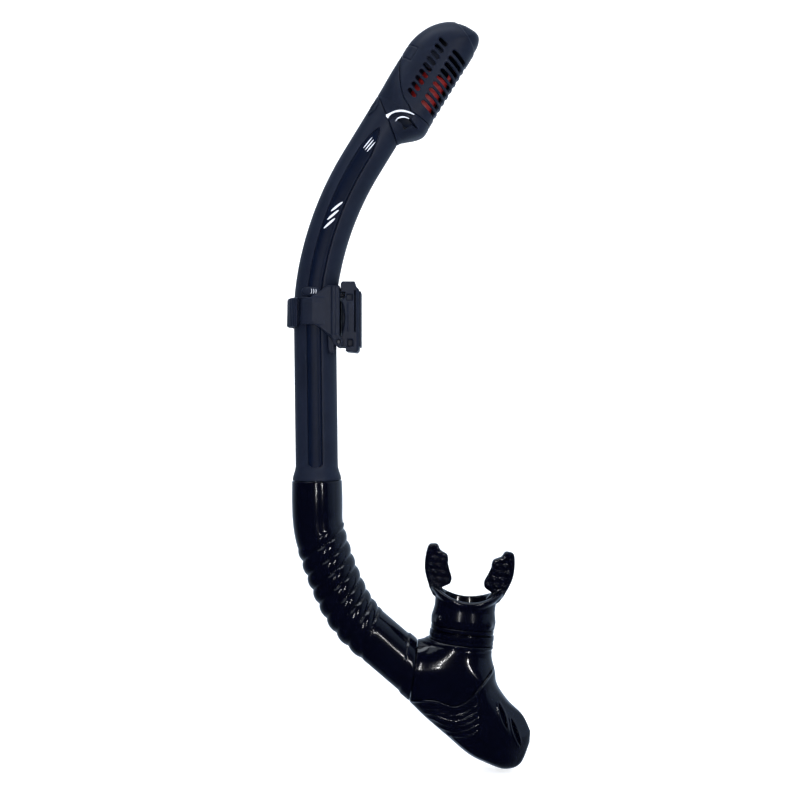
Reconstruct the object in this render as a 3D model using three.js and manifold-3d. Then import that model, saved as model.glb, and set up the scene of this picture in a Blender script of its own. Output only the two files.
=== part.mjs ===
// A dry-top snorkel: a curved rigid barrel, a slotted top that shuts itself under water, a strap keeper on the
// barrel, a corrugated flex tube, and a lower chamber with a mouthpiece and a purge valve.
// Millimetres, +Z up. The barrel bends towards +X, and the mouthpiece opens upwards beside it.
import * as THREE from "three";
import { mergeVertices } from "three/addons/utils/BufferGeometryUtils.js";
import Module from "manifold-3d";

const wasm = await Module();
wasm.setup();

// ---------------------------------------------------------------- driving dimensions
const GAP = 0.3; // play between pieces that touch
const DEG = Math.PI / 180;
const SIDES = 20; // facets round a tube

const BARREL = {
  radius: 12.7,
  bore: 10.2,
  flare: 14.6,
  flareHeight: 9,
  spigotRadius: 11.7,
  spigotLength: 20,
};
const BARREL_START = { x: 0, z: 0, heading: -0.7 };
const BARREL_LEGS = [straight(96.6), bend(141, 11.2), bend(193.5, 21), straight(29.9)];

const STRIP = { halfWidth: 4.2, depth: 1.1, proud: 0.12, start: 8, endBeforeJoint: 8, point: 16 };
const STOP_BOSS = { along: 114, radiusX: 5.7, radiusY: 1.4, radiusZ: 2.7, shift: -3, proud: 1.15 };

const BAND = { along: 101.8, bore: 13.3, radius: 15.4, height: 16.4, lugRadius: 16.7, lugHalfAngle: 56 };
const SEAT_X = 14; // flat floor of the pocket that the mask strap lies on
const SEAT_Z = 99;
const SEAT_RIM_X = 14.3; // face of the bracket round the pocket
const SEAT_BOTTOM = 85.6;
const POCKET = { halfDepth: 5.6, low: 89.5, high: 103.5 };
const BRACKET_HALF_DEPTH = 15;
const PIN = { x: 13.6, z: 82.3, radius: 1.2, half: 13.6, knuckle: 2.8 };
const GATE_HALF_DEPTH = 12;

const FLEX = { bore: 12, cuff: 14.9, mean: 14.75, ridge: 0.75, pitch: 8.5, ridges: 8, lowerLip: 15.6 };
const FLEX_START = { x: 0, z: 0, heading: 179.3 };
const FLEX_LEGS = [
  straight(20),
  bend(60, -16.3),
  straight(6.5),
  bend(190, -9.5),
  bend(60, -23),
  straight(35),
];
const RIDGES_FROM = 31;
const SEAM_SKEW = 0.637; // the lower end of the flex tube is cut nearly upright

const TOP = { joint: 0.6, jointSkew: -0.74, width: 36.3, halfDepth: 15.5, height: 73.4, wall: 1.8 };
const SPIGOT = { radius: 9.9, bore: 8.3, length: 20, grooveRadius: 8.95, grooveAt: -14, grooveHalf: 1.6 };
const TOWER = { v: 9.2, halfWidth: 6.6, halfDepth: 10.5, bore: 4.2, boreDepth: 8.4, top: 45 };
const SLOT = { rows: 9, pitch: 4.4, width: 2.7, first: 21.4, drop: 2, lastV: 34, innerSide: -5 };
const FLOAT = { v: 24.3, halfWidth: 8.3, halfDepth: 9.2, bottom: 12.5, top: 38, travel: 5 };
const LEVER = { v: 21, u: 48.4, thickness: 1.6, openAngle: 23.6, reach: 12 };

const MOUTH = { x: 87, z: -91, tilt: 6.5, halfWidth: 19.4, halfDepth: 14, wall: 2.6 };
const SHELL = { gap: 2.7, boot: 2.4, hollow: 4.6 };
const PURGE = { x: 96.5, z: -146.7, heading: 129.7, radius: 11.2, port: 9.2 };

// ---------------------------------------------------------------- routes in the XZ plane
function straight(length) {
  return { length, turn: 0 };
}

function bend(radius, degrees) {
  return { length: radius * Math.abs(degrees) * DEG, turn: degrees * DEG };
}

// A plane route of straight and round legs. The heading is measured from +Z towards +X.
function route(start, legs) {
  const knots = [];
  let at = { along: 0, x: start.x, z: start.z, heading: start.heading * DEG };
  for (const leg of legs) {
    knots.push({ ...at, ...leg });
    at = { along: at.along + leg.length, ...advance({ ...at, ...leg }, leg.length) };
  }
  knots.push({ ...at, length: 1, turn: 0 });
  const frameAt = (along) => {
    const knot = knots.findLast((k) => k.along <= along) ?? knots[0];
    return advance(knot, along - knot.along);
  };
  return { length: at.along, frameAt };
}

function advance(knot, distance) {
  const heading = knot.heading + (knot.turn * distance) / knot.length;
  if (knot.turn === 0) {
    return { x: knot.x + distance * Math.sin(heading), z: knot.z + distance * Math.cos(heading), heading };
  }
  const radius = knot.length / knot.turn;
  return {
    x: knot.x + radius * (Math.cos(knot.heading) - Math.cos(heading)),
    z: knot.z + radius * (Math.sin(heading) - Math.sin(knot.heading)),
    heading,
  };
}

// ---------------------------------------------------------------- sections and lofts
// A closed section across a route; skew leans it along the route.
function across(frame, halfWidth, halfDepth = halfWidth, { sides = SIDES, skew = 0, shift = 0 } = {}) {
  const ring = [];
  for (let k = 0; k < sides; k++) {
    const angle = (2 * Math.PI * k) / sides;
    ring.push(place(frame, halfWidth * Math.cos(angle), halfDepth * Math.sin(angle), skew, shift));
  }
  return ring;
}

function place(frame, side, depth, skew = 0, shift = 0) {
  const along = skew * side + shift;
  return new THREE.Vector3(
    frame.x + side * Math.cos(frame.heading) + along * Math.sin(frame.heading),
    depth,
    frame.z - side * Math.sin(frame.heading) + along * Math.cos(frame.heading),
  );
}

const rounded = (value, power) => Math.sign(value) * Math.abs(value) ** (2 / power);

// A level oval section; power 2 is an ellipse, and more is squarer. Dip lowers its front and back.
function oval(x, z, halfWidth, halfDepth, { power = 2, sides = SIDES, dip = 0 } = {}) {
  const ring = [];
  for (let k = 0; k < sides; k++) {
    const angle = (2 * Math.PI * k) / sides;
    const width = halfWidth * rounded(Math.cos(angle), power);
    const depth = halfDepth * rounded(Math.sin(angle), power);
    ring.push(new THREE.Vector3(x + width, depth, z - dip * Math.sin(angle) ** 2));
  }
  return ring;
}

// Joins rings of equal length into one closed surface: capped at both ends, or joined end to start as a loop.
function loft(rings, loop = false) {
  const sides = rings[0].length;
  const points = rings.flat();
  const index = [];
  const count = rings.length;
  for (let r = 0; r < (loop ? count : count - 1); r++) {
    const next = (r + 1) % count;
    for (let k = 0; k < sides; k++) {
      const far = (k + 1) % sides;
      index.push(r * sides + k, r * sides + far, next * sides + far);
      index.push(r * sides + k, next * sides + far, next * sides + k);
    }
  }
  if (!loop) {
    const first = points.length;
    for (const ring of [rings[0], rings[count - 1]]) {
      points.push(ring.reduce((sum, p) => sum.add(p), new THREE.Vector3()).divideScalar(sides));
    }
    const base = (count - 1) * sides;
    for (let k = 0; k < sides; k++) {
      const far = (k + 1) % sides;
      index.push(first, far, k);
      index.push(first + 1, base + k, base + far);
    }
  }
  const geometry = new THREE.BufferGeometry().setFromPoints(points);
  geometry.setIndex(index);
  return geometry;
}

// A wall between an outer and an inner run of rings.
function pipe(outer, inner) {
  return loft([...outer, ...inner.toReversed()], true);
}

// An outline in the XZ plane, made solid from y = from to y = to.
function slab(outline, from, to) {
  const shape = new THREE.Shape(outline.map(([x, z]) => new THREE.Vector2(x, z)));
  const geometry = new THREE.ExtrudeGeometry(shape, { depth: to - from, bevelEnabled: false });
  return geometry.rotateX(Math.PI / 2).translate(0, to, 0);
}

function smoothOutline(points) {
  const [first, ...rest] = points.map(([x, z]) => new THREE.Vector2(x, z));
  return new THREE.Shape().moveTo(first.x, first.y).splineThru(rest);
}

// A pin, hub or hole along Y.
function crossPin(x, z, radius, from, to, sides = 16) {
  return new THREE.CylinderGeometry(radius, radius, to - from, sides).translate(x, (from + to) / 2, z);
}

function block(fromX, toX, fromY, toY, fromZ, toZ) {
  const box = new THREE.BoxGeometry(toX - fromX, toY - fromY, toZ - fromZ);
  return box.translate((fromX + toX) / 2, (fromY + toY) / 2, (fromZ + toZ) / 2);
}

// ---------------------------------------------------------------- joining and cutting
function solid(shape) {
  if (shape instanceof wasm.Manifold) return shape;
  const loose = shape.index ? shape.toNonIndexed() : shape;
  const bare = new THREE.BufferGeometry().setAttribute("position", loose.getAttribute("position"));
  const merged = mergeVertices(bare, 1e-4);
  const triVerts = new Uint32Array(merged.index.array);
  const vertProperties = merged.attributes.position.array;
  return new wasm.Manifold(new wasm.Mesh({ numProp: 3, vertProperties, triVerts }));
}

const join = (...shapes) => shapes.map(solid).reduce((sum, next) => sum.add(next));
const cut = (shape, ...tools) => tools.map(solid).reduce((left, tool) => left.subtract(tool), solid(shape));
const common = (...shapes) => shapes.map(solid).reduce((left, next) => left.intersect(next));

function geometryOf(shape) {
  if (!(shape instanceof wasm.Manifold)) return shape;
  const mesh = shape.getMesh();
  const geometry = new THREE.BufferGeometry();
  geometry.setAttribute("position", new THREE.BufferAttribute(new Float32Array(mesh.vertProperties), 3));
  geometry.setIndex(new THREE.BufferAttribute(new Uint32Array(mesh.triVerts), 1));
  geometry.computeVertexNormals();
  return geometry;
}

function piece(name, shape, look) {
  const mesh = new THREE.Mesh(geometryOf(shape), look);
  mesh.name = name;
  return mesh;
}

const look = (color, roughness, metalness = 0) =>
  new THREE.MeshStandardMaterial({ color, roughness, metalness });
const satinPlastic = () => look(0x252a31, 0.5);
const glossPlastic = () => look(0x0c0f14, 0.15);
const silicone = () => look(0x090b10, 0.2);
const clearSilicone = () => look(0x30343a, 0.35);

// ---------------------------------------------------------------- barrel
const barrelRoute = route(BARREL_START, BARREL_LEGS);
const jointFrame = barrelRoute.frameAt(barrelRoute.length);

function barrel() {
  const { radius, bore, flare, flareHeight, spigotRadius, spigotLength } = BARREL;
  const ring = (along, size, skew = 0) => across(barrelRoute.frameAt(along), size, size, { skew });
  const end = barrelRoute.length;
  const stations = [48, 88];
  for (let along = 104; along < end - 24; along += 16) stations.push(along);
  stations.push(end - 14);
  const outer = [ring(-spigotLength, spigotRadius - 0.5), ring(1 - spigotLength, spigotRadius)];
  outer.push(ring(0, spigotRadius));
  outer.push(ring(0, flare), ring(1.5, flare), ring(flareHeight / 2, flare - 1), ring(flareHeight, radius));
  outer.push(...stations.map((along) => ring(along, radius)), ring(end - GAP / 2, radius, TOP.jointSkew));
  const inner = [ring(-spigotLength, bore), ring(0, bore)];
  inner.push(...stations.map((along) => ring(along, bore)), ring(end - GAP / 2, bore, TOP.jointSkew));
  const { radiusX, radiusY, radiusZ, proud } = STOP_BOSS;
  const boss = new THREE.SphereGeometry(1, 12, 6).scale(radiusX, radiusY, radiusZ);
  const at = barrelRoute.frameAt(STOP_BOSS.along);
  boss.translate(at.x + STOP_BOSS.shift, 0.3 - radius, at.z);
  const bossLimit = loft([-4, 4].map((shift) => ring(STOP_BOSS.along + shift, radius + proud)));
  const lowBoss = common(boss, bossLimit);
  return cut(join(pipe(outer, inner), lowBoss), strip(1, GAP), strip(-1, GAP));
}

// An inlay that follows the barrel on its front (side 1) or its back (side -1), pointed at the top.
function strip(side, grow = 0) {
  const lift = grow ? 2 : STRIP.proud;
  const last = barrelRoute.length - STRIP.endBeforeJoint + grow;
  const first = STRIP.start - grow;
  const rings = [];
  const steps = 14;
  for (let k = 0; k <= steps; k++) {
    const along = first + ((last - first) * k) / steps;
    const taper = Math.min(1, (last - along) / STRIP.point);
    const half = (STRIP.halfWidth - 0.5) * Math.sqrt(Math.max(taper, 0)) + 0.5 + grow;
    const frame = barrelRoute.frameAt(along);
    const arc = (radius, flip) =>
      [-1, 0, 1].map((share) => {
        const offset = share * flip * half;
        return place(frame, side * offset, -side * Math.sqrt(radius ** 2 - offset ** 2));
      });
    rings.push([...arc(BARREL.radius + lift, 1), ...arc(BARREL.radius - STRIP.depth - grow, -1)]);
  }
  return loft(rings);
}

// ---------------------------------------------------------------- keeper
const bandFrame = barrelRoute.frameAt(BAND.along);

function bandTube(outer, inner, height) {
  const ring = (along, size) => across(bandFrame, size, size, { sides: 28, shift: along });
  const ends = [-height / 2, height / 2];
  return pipe(ends.map((along) => ring(along, outer)), ends.map((along) => ring(along, inner)));
}

function keeperBand() {
  const { bore, radius, height, lugRadius, lugHalfAngle } = BAND;
  const ring = bandTube(radius, bore - 0.5, height);
  const lugEdge = lugRadius * Math.cos(lugHalfAngle * DEG);
  const lug = common(
    bandTube(lugRadius, bore - 1, height - 0.4),
    block(bandFrame.x - 20, bandFrame.x - lugEdge, -20, 20, 80, 120),
  );
  const outline = [
    [-2.3, 93.8],
    [-2.3, 110],
    [7, 115.5],
    [SEAT_RIM_X, 115.5],
    [SEAT_RIM_X, SEAT_BOTTOM],
    [PIN.x + PIN.knuckle, PIN.z],
    [PIN.x, PIN.z - PIN.knuckle],
    [PIN.x - 2, PIN.z - 2],
    [8.5, 86],
  ];
  const wedge = slab(outline, -BRACKET_HALF_DEPTH, BRACKET_HALF_DEPTH);
  const legOutline = [[6.6, 88], [11.4, 86], [11.2, 76], [8.4, 75], [7, 78]];
  const legs = [slab(legOutline, -12, -9), slab(legOutline, 9, 12)];
  return cut(
    join(ring, lug, wedge, ...legs),
    block(SEAT_RIM_X, SEAT_RIM_X + 10, -20, 20, SEAT_BOTTOM, 130),
    block(SEAT_X, SEAT_X + 10, -POCKET.halfDepth, POCKET.halfDepth, POCKET.low, POCKET.high),
    bandBore(bore, -41, 31),
    bandBore(bore + 0.6, -40, -9),
    bandBore(bore + 1.6, -39, -18),
    bandBore(bore + 1.4, 8.6, 30),
    crossPin(PIN.x, PIN.z, PIN.knuckle + GAP, -GATE_HALF_DEPTH - GAP, GATE_HALF_DEPTH + GAP),
    block(SEAT_X - 2, SEAT_X + 6, -GATE_HALF_DEPTH - GAP, GATE_HALF_DEPTH + GAP, 76, SEAT_BOTTOM),
    crossPin(PIN.x, PIN.z, PIN.radius + GAP / 2, -20, 20),
  );
}

// A round bore along the band's axis, between two heights measured from its middle.
function bandBore(radius, from, to) {
  const ring = (along) => across(bandFrame, radius, radius, { sides: 28, shift: along });
  return loft([ring(from), ring(to)]);
}

// The gate's inner face is hollowed to a lens that the strap passes through.
// Two rows of teeth in it grip the strap.
const GATE_OUTLINE = [
  [PIN.x, PIN.z + PIN.knuckle],
  [14.9, 85.9],
  [16.5, 90],
  [17.4, 96.6],
  [16.5, 103],
  [14.9, 107.4],
  [17.2, 108.6],
  [17.2, 111.8],
  [14.7, 111.8],
  [14.7, 117],
  [15.8, 118.2],
  [23, 118.2],
  [25.5, 115.2],
  [25.5, 77.6],
  [24.2, 76.2],
  [17.5, 76.9],
  [18, 79.4],
  [PIN.x, PIN.z - PIN.knuckle],
];
const TEETH = { x: 15, inner: 6, outer: 11, low: 88.4, high: 105 };

function strapGate() {
  const plate = slab(GATE_OUTLINE, -GATE_HALF_DEPTH, GATE_HALF_DEPTH);
  const teeth = [-TEETH.outer, TEETH.inner].map((from) =>
    block(TEETH.x, 20, from, from + TEETH.outer - TEETH.inner, TEETH.low, TEETH.high),
  );
  const hub = crossPin(PIN.x, PIN.z, PIN.knuckle, -GATE_HALF_DEPTH, GATE_HALF_DEPTH);
  const bore = crossPin(PIN.x, PIN.z, PIN.radius + GAP / 2, -20, 20);
  const barrelRoom = block(0, 17.4, -6.7, 6.7, 70, 86.5);
  return cut(join(plate, hub, ...teeth), bore, barrelRoom);
}

// ---------------------------------------------------------------- flex tube
const flexRoute = route(FLEX_START, FLEX_LEGS);

function flexTube() {
  const { bore, cuff, mean, ridge, pitch, ridges, lowerLip } = FLEX;
  const ring = (along, size, skew = 0) => across(flexRoute.frameAt(along), size, size, { skew });
  const end = flexRoute.length - GAP / 2;
  const outer = [ring(GAP, cuff - 0.8), ring(1.6, cuff), ring(8, cuff + 0.4), ring(24, cuff - 0.2)];
  const stations = [GAP, 24];
  for (let k = 0; k < ridges; k++) {
    const along = RIDGES_FROM + k * pitch;
    outer.push(ring(along, mean - ridge), ring(along + pitch / 2, mean + ridge));
    stations.push(along);
  }
  const rest = RIDGES_FROM + ridges * pitch;
  stations.push(rest);
  outer.push(ring(rest, mean - ridge), ring(rest + 3, mean), ring(end - 13, mean, SEAM_SKEW / 2));
  outer.push(ring(end, lowerLip, SEAM_SKEW));
  const inner = stations.map((along) => ring(along, bore));
  inner.push(ring(end - 13, bore, SEAM_SKEW / 2), ring(end, bore, SEAM_SKEW));
  return pipe(outer, inner);
}

// ---------------------------------------------------------------- dry top
// It has its own frame: x is v, across the barrel from its spine, and z is u, along the barrel.
const ease = (share) => {
  const t = Math.min(Math.max(share, 0), 1);
  return t * t * (3 - 2 * t);
};

const ROUND_FROM = 42; // the spine is straight up to here, and then rounds over
const CROWN_V = 26.2; // highest point of the top
function spineEdge(u) {
  const share = Math.min(Math.max((u - ROUND_FROM) / (TOP.height - ROUND_FROM), 0), 1);
  return CROWN_V * (1 - Math.sqrt(1 - share ** 2));
}

const SHOULDER_U = 62;
function frontEdge(u) {
  const barrelEdge = 2 * BARREL.radius;
  if (u < SHOULDER_U) return barrelEdge + (TOP.width - barrelEdge) * ease((u + 10) / 16);
  const share = Math.min((u - SHOULDER_U) / (TOP.height - SHOULDER_U), 1);
  return CROWN_V + (TOP.width - CROWN_V) * (1 - share ** 3.5) ** (1 / 3.5);
}

// One ring of the dry top, inset by a wall; share 0 is the slanted joint with the barrel, and 1 is the crown.
function topRing(share, inset) {
  const low = TOP.joint - TOP.jointSkew * BARREL.radius;
  const spineU = low + (TOP.height - 0.4 - low) * share;
  const slant = 2 * BARREL.radius * -TOP.jointSkew * (1 - ease(share / 0.4));
  const frontU = spineU - slant;
  const left = spineEdge(spineU) + inset;
  const right = frontEdge(frontU) - inset;
  const middle = (spineU + frontU) / 2;
  const crown = Math.max((middle - 46) / (TOP.height - 46), 0);
  const growth = ease((middle - TOP.joint) / 16);
  const depth = (BARREL.radius + (TOP.halfDepth - BARREL.radius) * growth) * (1 - 0.62 * crown ** 3) - inset;
  const power = 2 + 0.7 * growth;
  const ring = [];
  const sides = 22;
  for (let k = 0; k < sides; k++) {
    const angle = (2 * Math.PI * k) / sides;
    const across = rounded(Math.cos(angle), power);
    const v = (left + right) / 2 + ((right - left) / 2) * across;
    const u = middle - (slant / 2) * across;
    ring.push(new THREE.Vector3(v, depth * rounded(Math.sin(angle), power), u));
  }
  return ring;
}

function topBody(inset = 0) {
  const shares = [0, 0.1, 0.2, 0.32, 0.5, 0.66, 0.78, 0.87, 0.94, 0.98, 1];
  const highest = 1 - inset / (TOP.height - TOP.joint);
  return solid(loft(shares.map((share) => topRing(share * highest, inset))));
}

// The line where the slotted cover meets the base, from the front edge round to the spine.
const COVER_EDGE = [
  [60, 10.3],
  [25, 10.3],
  [24, 9.6],
  [20.5, 12.6],
  [15.8, 14.6],
  [10.2, 20.3],
  [3.4, 30.3],
  [0.6, 37],
  [-6, 37],
];

function coverRegion(grow) {
  const edge = COVER_EDGE.map(([v, u]) => [v, u + grow]);
  return slab([...edge, [-6, 90], [60, 90]], -30, 30);
}

// The slots go through the front wall only, so that no light passes right through the top.
function guardSlots() {
  const { rows, pitch, width, first, drop } = SLOT;
  const slot = (fromV, fromU, toV, toU) =>
    slab([[fromV, fromU], [toV, toU], [toV, toU - width], [fromV, fromU - width]], -30, SLOT.innerSide);
  const tools = [];
  for (let row = 0; row < rows; row++) {
    const left = first + row * pitch;
    const right = left - 2.1;
    tools.push(slot(13, left, 20.7, left - drop), slot(23.8, right, SLOT.lastV, right - drop));
  }
  return tools;
}

function guardCover() {
  const shell = cut(topBody(), topBody(TOP.wall));
  return cut(common(shell, coverRegion(GAP / 2)), ...guardSlots());
}

function conduit() {
  const { v, bore, boreDepth, top } = TOWER;
  return loft([
    oval(BARREL.radius, -30, SPIGOT.bore, SPIGOT.bore),
    oval(BARREL.radius, 0, SPIGOT.bore, SPIGOT.bore),
    oval(v, 14, bore, boreDepth, { power: 2.4 }),
    oval(v, top + 4, bore, boreDepth, { power: 2.4 }),
  ]);
}

function jointPlane(shift) {
  const height = (v) => TOP.joint + TOP.jointSkew * (v - BARREL.radius) + shift;
  return slab([[-10, height(-10)], [60, height(60)], [60, 100], [-10, 100]], -40, 40);
}

function topBase() {
  const { v, halfWidth, halfDepth, top } = TOWER;
  const body = topBody();
  const baseRegion = slab([...COVER_EDGE.map(([x, z]) => [x, z - GAP / 2]), [-6, -30], [60, -30]], -30, 30);
  const shell = common(cut(body, topBody(TOP.wall + 0.3)), baseRegion);
  const floor = common(body, baseRegion, block(-5, 60, -30, 30, -30, 9));
  const towerBlock = loft([
    oval(v, 0, halfWidth, halfDepth, { power: 4 }),
    oval(v, top, halfWidth, halfDepth, { power: 4 }),
  ]);
  const tower = common(towerBlock, topBody(TOP.wall + 0.4));
  const web = common(body, baseRegion, block(0.5, 4, -8, 8, 5, 36));
  const ears = [-12, 9.9].map((from) => block(11.5, 24, from, from + 2.1, 34, 51));
  const lipRing = (z, radius) => oval(BARREL.radius, z, radius, radius);
  const groove = SPIGOT.grooveAt;
  const spigot = loft([
    lipRing(-SPIGOT.length, SPIGOT.radius - 0.5),
    lipRing(1 - SPIGOT.length, SPIGOT.radius),
    lipRing(groove - SPIGOT.grooveHalf, SPIGOT.radius),
    lipRing(groove - SPIGOT.grooveHalf, SPIGOT.grooveRadius),
    lipRing(groove + SPIGOT.grooveHalf, SPIGOT.grooveRadius),
    lipRing(groove + SPIGOT.grooveHalf, SPIGOT.radius),
    lipRing(6, SPIGOT.radius),
  ]);
  const aboveJoint = common(join(shell, floor, tower, web, ...ears), jointPlane(GAP / 2));
  const scoops = [-1, 1].map((side) =>
    new THREE.SphereGeometry(1, 16, 10).scale(9.5, 4, 6).translate(21, side * 16.5, 4.6),
  );
  const pinHole = crossPin(LEVER.v, LEVER.u, 1.15, -20, 20);
  return cut(join(aboveJoint, spigot), conduit(), pinHole, ...scoops);
}

function topGasket() {
  const { grooveAt, grooveHalf, grooveRadius } = SPIGOT;
  const ring = (z, radius) => oval(BARREL.radius, z, radius, radius);
  const half = grooveHalf - GAP;
  const outer = [ring(grooveAt - half, 9.6), ring(grooveAt, 10.05), ring(grooveAt + half, 9.6)];
  const inner = [-half, 0, half].map((shift) => ring(grooveAt + shift, grooveRadius + 0.15));
  return pipe(outer, inner);
}

function floatBody() {
  const { v, halfWidth, halfDepth, bottom, top } = FLOAT;
  const ring = (z, shrink) => oval(v, z, halfWidth - shrink, halfDepth - shrink, { power: 3 });
  const body = loft([ring(bottom, 1.5), ring(bottom + 1.5, 0), ring(top - 1.5, 0), ring(top, 1.5)]);
  const nubV = LEVER.v + LEVER.reach;
  const armLow = LEVER.u - LEVER.reach * Math.tan((LEVER.openAngle / 2) * DEG) - 1.4;
  const nub = block(nubV - 3, nubV - 0.6, -2, 2, top - 2, armLow);
  return join(body, nub);
}

// The lever in its shut position: its left arm is level over the conduit, and its right arm is cranked up.
function leverParts() {
  const { v, u, thickness, openAngle, reach } = LEVER;
  const half = thickness / 2;
  const leftArm = block(TOWER.v - 4, v, -7, 7, u - half, u + half);
  const rightArm = new THREE.BoxGeometry(reach + 0.6, 8, thickness).translate((reach + 0.6) / 2, 0, 0);
  rightArm.rotateY((-openAngle / 2) * DEG).translate(v, 0, u);
  const hub = crossPin(v, u, 2.2, -9.3, 9.3);
  const shutLever = cut(join(leftArm, rightArm, hub), crossPin(v, u, 1.15, -20, 20));
  const sealLow = TOWER.top + 0.4;
  const seal = loft([
    oval(TOWER.v, sealLow, 4.8, 9, { power: 2.4 }),
    oval(TOWER.v, u - half - GAP, 5, 9.2, { power: 2.4 }),
  ]);
  return { shutLever, seal };
}

// Turns a shape about the lever's pin from shut to open.
function opened(shape) {
  return geometryOf(shape)
    .clone()
    .translate(-LEVER.v, 0, -LEVER.u)
    .rotateY(LEVER.openAngle * DEG)
    .translate(LEVER.v, 0, LEVER.u);
}

// ---------------------------------------------------------------- lower chamber and its boot
// The edges of the chamber and boot seen from the side, from the flex tube to the tip, and half its depth.
const UPPER_EDGE = [
  [60.3, -96.2],
  [72, -99],
  [88, -106],
  [103, -112],
  [107, -121],
  [114.5, -132],
  [123.5, -141],
  [128, -150.5],
];
const LOWER_EDGE = [
  [55.2, -132.3],
  [64.8, -141.6],
  [77.5, -152.5],
  [90, -163.2],
  [101, -169],
  [112.5, -173],
  [122, -169.8],
  [127.6, -157],
];
const HALF_DEPTHS = [15, 15.6, 16, 16, 15.6, 14.6, 12.4, 8];
const vectors = (points) => points.map(([x, z]) => new THREE.Vector2(x, z));
const upperEdge = new THREE.SplineCurve(vectors(UPPER_EDGE));
const lowerEdge = new THREE.SplineCurve(vectors(LOWER_EDGE));
const halfDepth = new THREE.SplineCurve(HALF_DEPTHS.map((depth, k) => new THREE.Vector2(k, depth)));

function chamberRing(share, inset, sides = 22) {
  const high = upperEdge.getPoint(share);
  const low = lowerEdge.getPoint(share);
  const middle = high.clone().add(low).divideScalar(2);
  const arm = high.clone().sub(middle);
  const length = arm.length();
  arm.multiplyScalar((length - inset) / length);
  const depth = halfDepth.getPoint(share).y - inset;
  const ring = [];
  for (let k = 0; k < sides; k++) {
    const angle = (2 * Math.PI * k) / sides;
    const along = rounded(Math.cos(angle), 2.3);
    const y = -depth * rounded(Math.sin(angle), 2.3);
    ring.push(new THREE.Vector3(middle.x + arm.x * along, y, middle.y + arm.y * along));
  }
  return ring;
}

function chamberBody(inset = 0) {
  const steps = 12;
  const first = inset / 90;
  const last = 1 - inset / 70;
  const rings = [];
  for (let k = 0; k <= steps; k++) rings.push(chamberRing(first + ((last - first) * k) / steps, inset));
  return solid(loft(rings));
}

// The wavy line where the boot meets the chamber.
const BOOT_EDGE = [
  [40, -131],
  [58, -129.6],
  [64.7, -128.4],
  [72, -128.8],
  [81.6, -132],
  [89.4, -128.4],
  [96.5, -120.6],
  [104, -112.6],
  [112, -104],
];
const BOOT_LINE = smoothOutline(BOOT_EDGE);

function bootRegion(grow) {
  const line = BOOT_LINE.getPoints(3).map((p) => [p.x, p.y - grow]);
  return slab([...line, [150, -104], [150, -190], [40, -190]], -40, 40);
}

const purgeAxis = { x: Math.sin(PURGE.heading * DEG), z: Math.cos(PURGE.heading * DEG) };
const purgeFrame = { x: PURGE.x, z: PURGE.z, heading: PURGE.heading * DEG };

function purgeDisc(radius, from, to, sides = SIDES) {
  const ring = (shift) => across(purgeFrame, radius, radius, { sides, shift });
  return loft([ring(from), ring(to)]);
}

function purgeRing(outer, inner, from, to) {
  const ring = (radius, shift) => across(purgeFrame, radius, radius, { shift });
  return pipe([ring(outer, from), ring(outer, to)], [ring(inner, from), ring(inner, to)]);
}

// Everything that lies before a plane across the purge valve's axis.
function beforePurge(shift) {
  const reach = 80;
  const corner = (along, side) => {
    const p = place(purgeFrame, side, 0, 0, along);
    return [p.x, p.z];
  };
  const far = -1.5 * reach;
  const near = [corner(shift, -reach), corner(shift, reach)];
  return slab([...near, corner(far, reach), corner(far, -reach)], -40, 40);
}

// The mouthpiece's frame: its origin is the middle of the collar, and z points into the mouth.
function mouthPlaced(geometry) {
  return geometryOf(geometry).clone().rotateY(MOUTH.tilt * DEG).translate(MOUTH.x, 0, MOUTH.z);
}

function neck(inset, top) {
  const stations = [[top, 19.2, 13.8], [-14, 19, 14.4], [-24, 18.4, 15.2], [-36, 15.5, 14]];
  const rings = stations.map(([z, width, depth]) => oval(0, z, width - inset, depth - inset, { power: 2.2 }));
  return mouthPlaced(loft(rings.toReversed()));
}

function mouthOval(z, width, depth) {
  return oval(0, z, width, depth, { power: 2.2 });
}

const NECK_TOP = -6.2;
const SPIGOT_OVAL = { width: 16.2, depth: 10.9, wall: 1.8, top: 8.4 };

function chamberHousing() {
  const flexEnd = flexRoute.frameAt(flexRoute.length);
  const inlet = (radius, from, to) => {
    const ring = (shift) => across(flexEnd, radius, radius, { shift });
    return loft([ring(from), ring(to)]);
  };
  const { width, depth, wall, top } = SPIGOT_OVAL;
  const mouthSpigot = mouthPlaced(loft([mouthOval(-12, width, depth), mouthOval(top, width, depth)]));
  const boreRing = (z) => mouthOval(z, width - wall, depth - wall);
  const mouthBore = mouthPlaced(loft([boreRing(-40), boreRing(top + 4)]));
  const outer = cut(chamberBody(), bootRegion(-GAP / 2));
  const inner = common(chamberBody(SHELL.gap), beforePurge(0));
  const hollow = common(chamberBody(SHELL.hollow), beforePurge(-2));
  const shell = join(outer, inner, neck(0, NECK_TOP), mouthSpigot, inlet(11.6, -26, 6));
  return cut(shell, hollow, neck(3, -16), mouthBore, inlet(10, -30, 14), purgeDisc(PURGE.port, -6, 6));
}

const VENT_HALF = 1.1; // the vents are slits, half this wide at each side of their middle line
function purgeCover() {
  const skin = cut(common(chamberBody(), bootRegion(GAP / 2)), chamberBody(SHELL.boot), neck(-GAP, NECK_TOP));
  const vent = ([fromX, fromZ], [toX, toZ]) => {
    const x = (fromX + toX) / 2;
    const z = (fromZ + toZ) / 2;
    return slab([[fromX, fromZ], [x + VENT_HALF, z + 0.5], [toX, toZ], [x - VENT_HALF, z - 0.5]], -40, 40);
  };
  return cut(skin, vent([108.2, -131], [113.4, -147]), vent([115.6, -140.5], [121.6, -158]));
}

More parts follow.
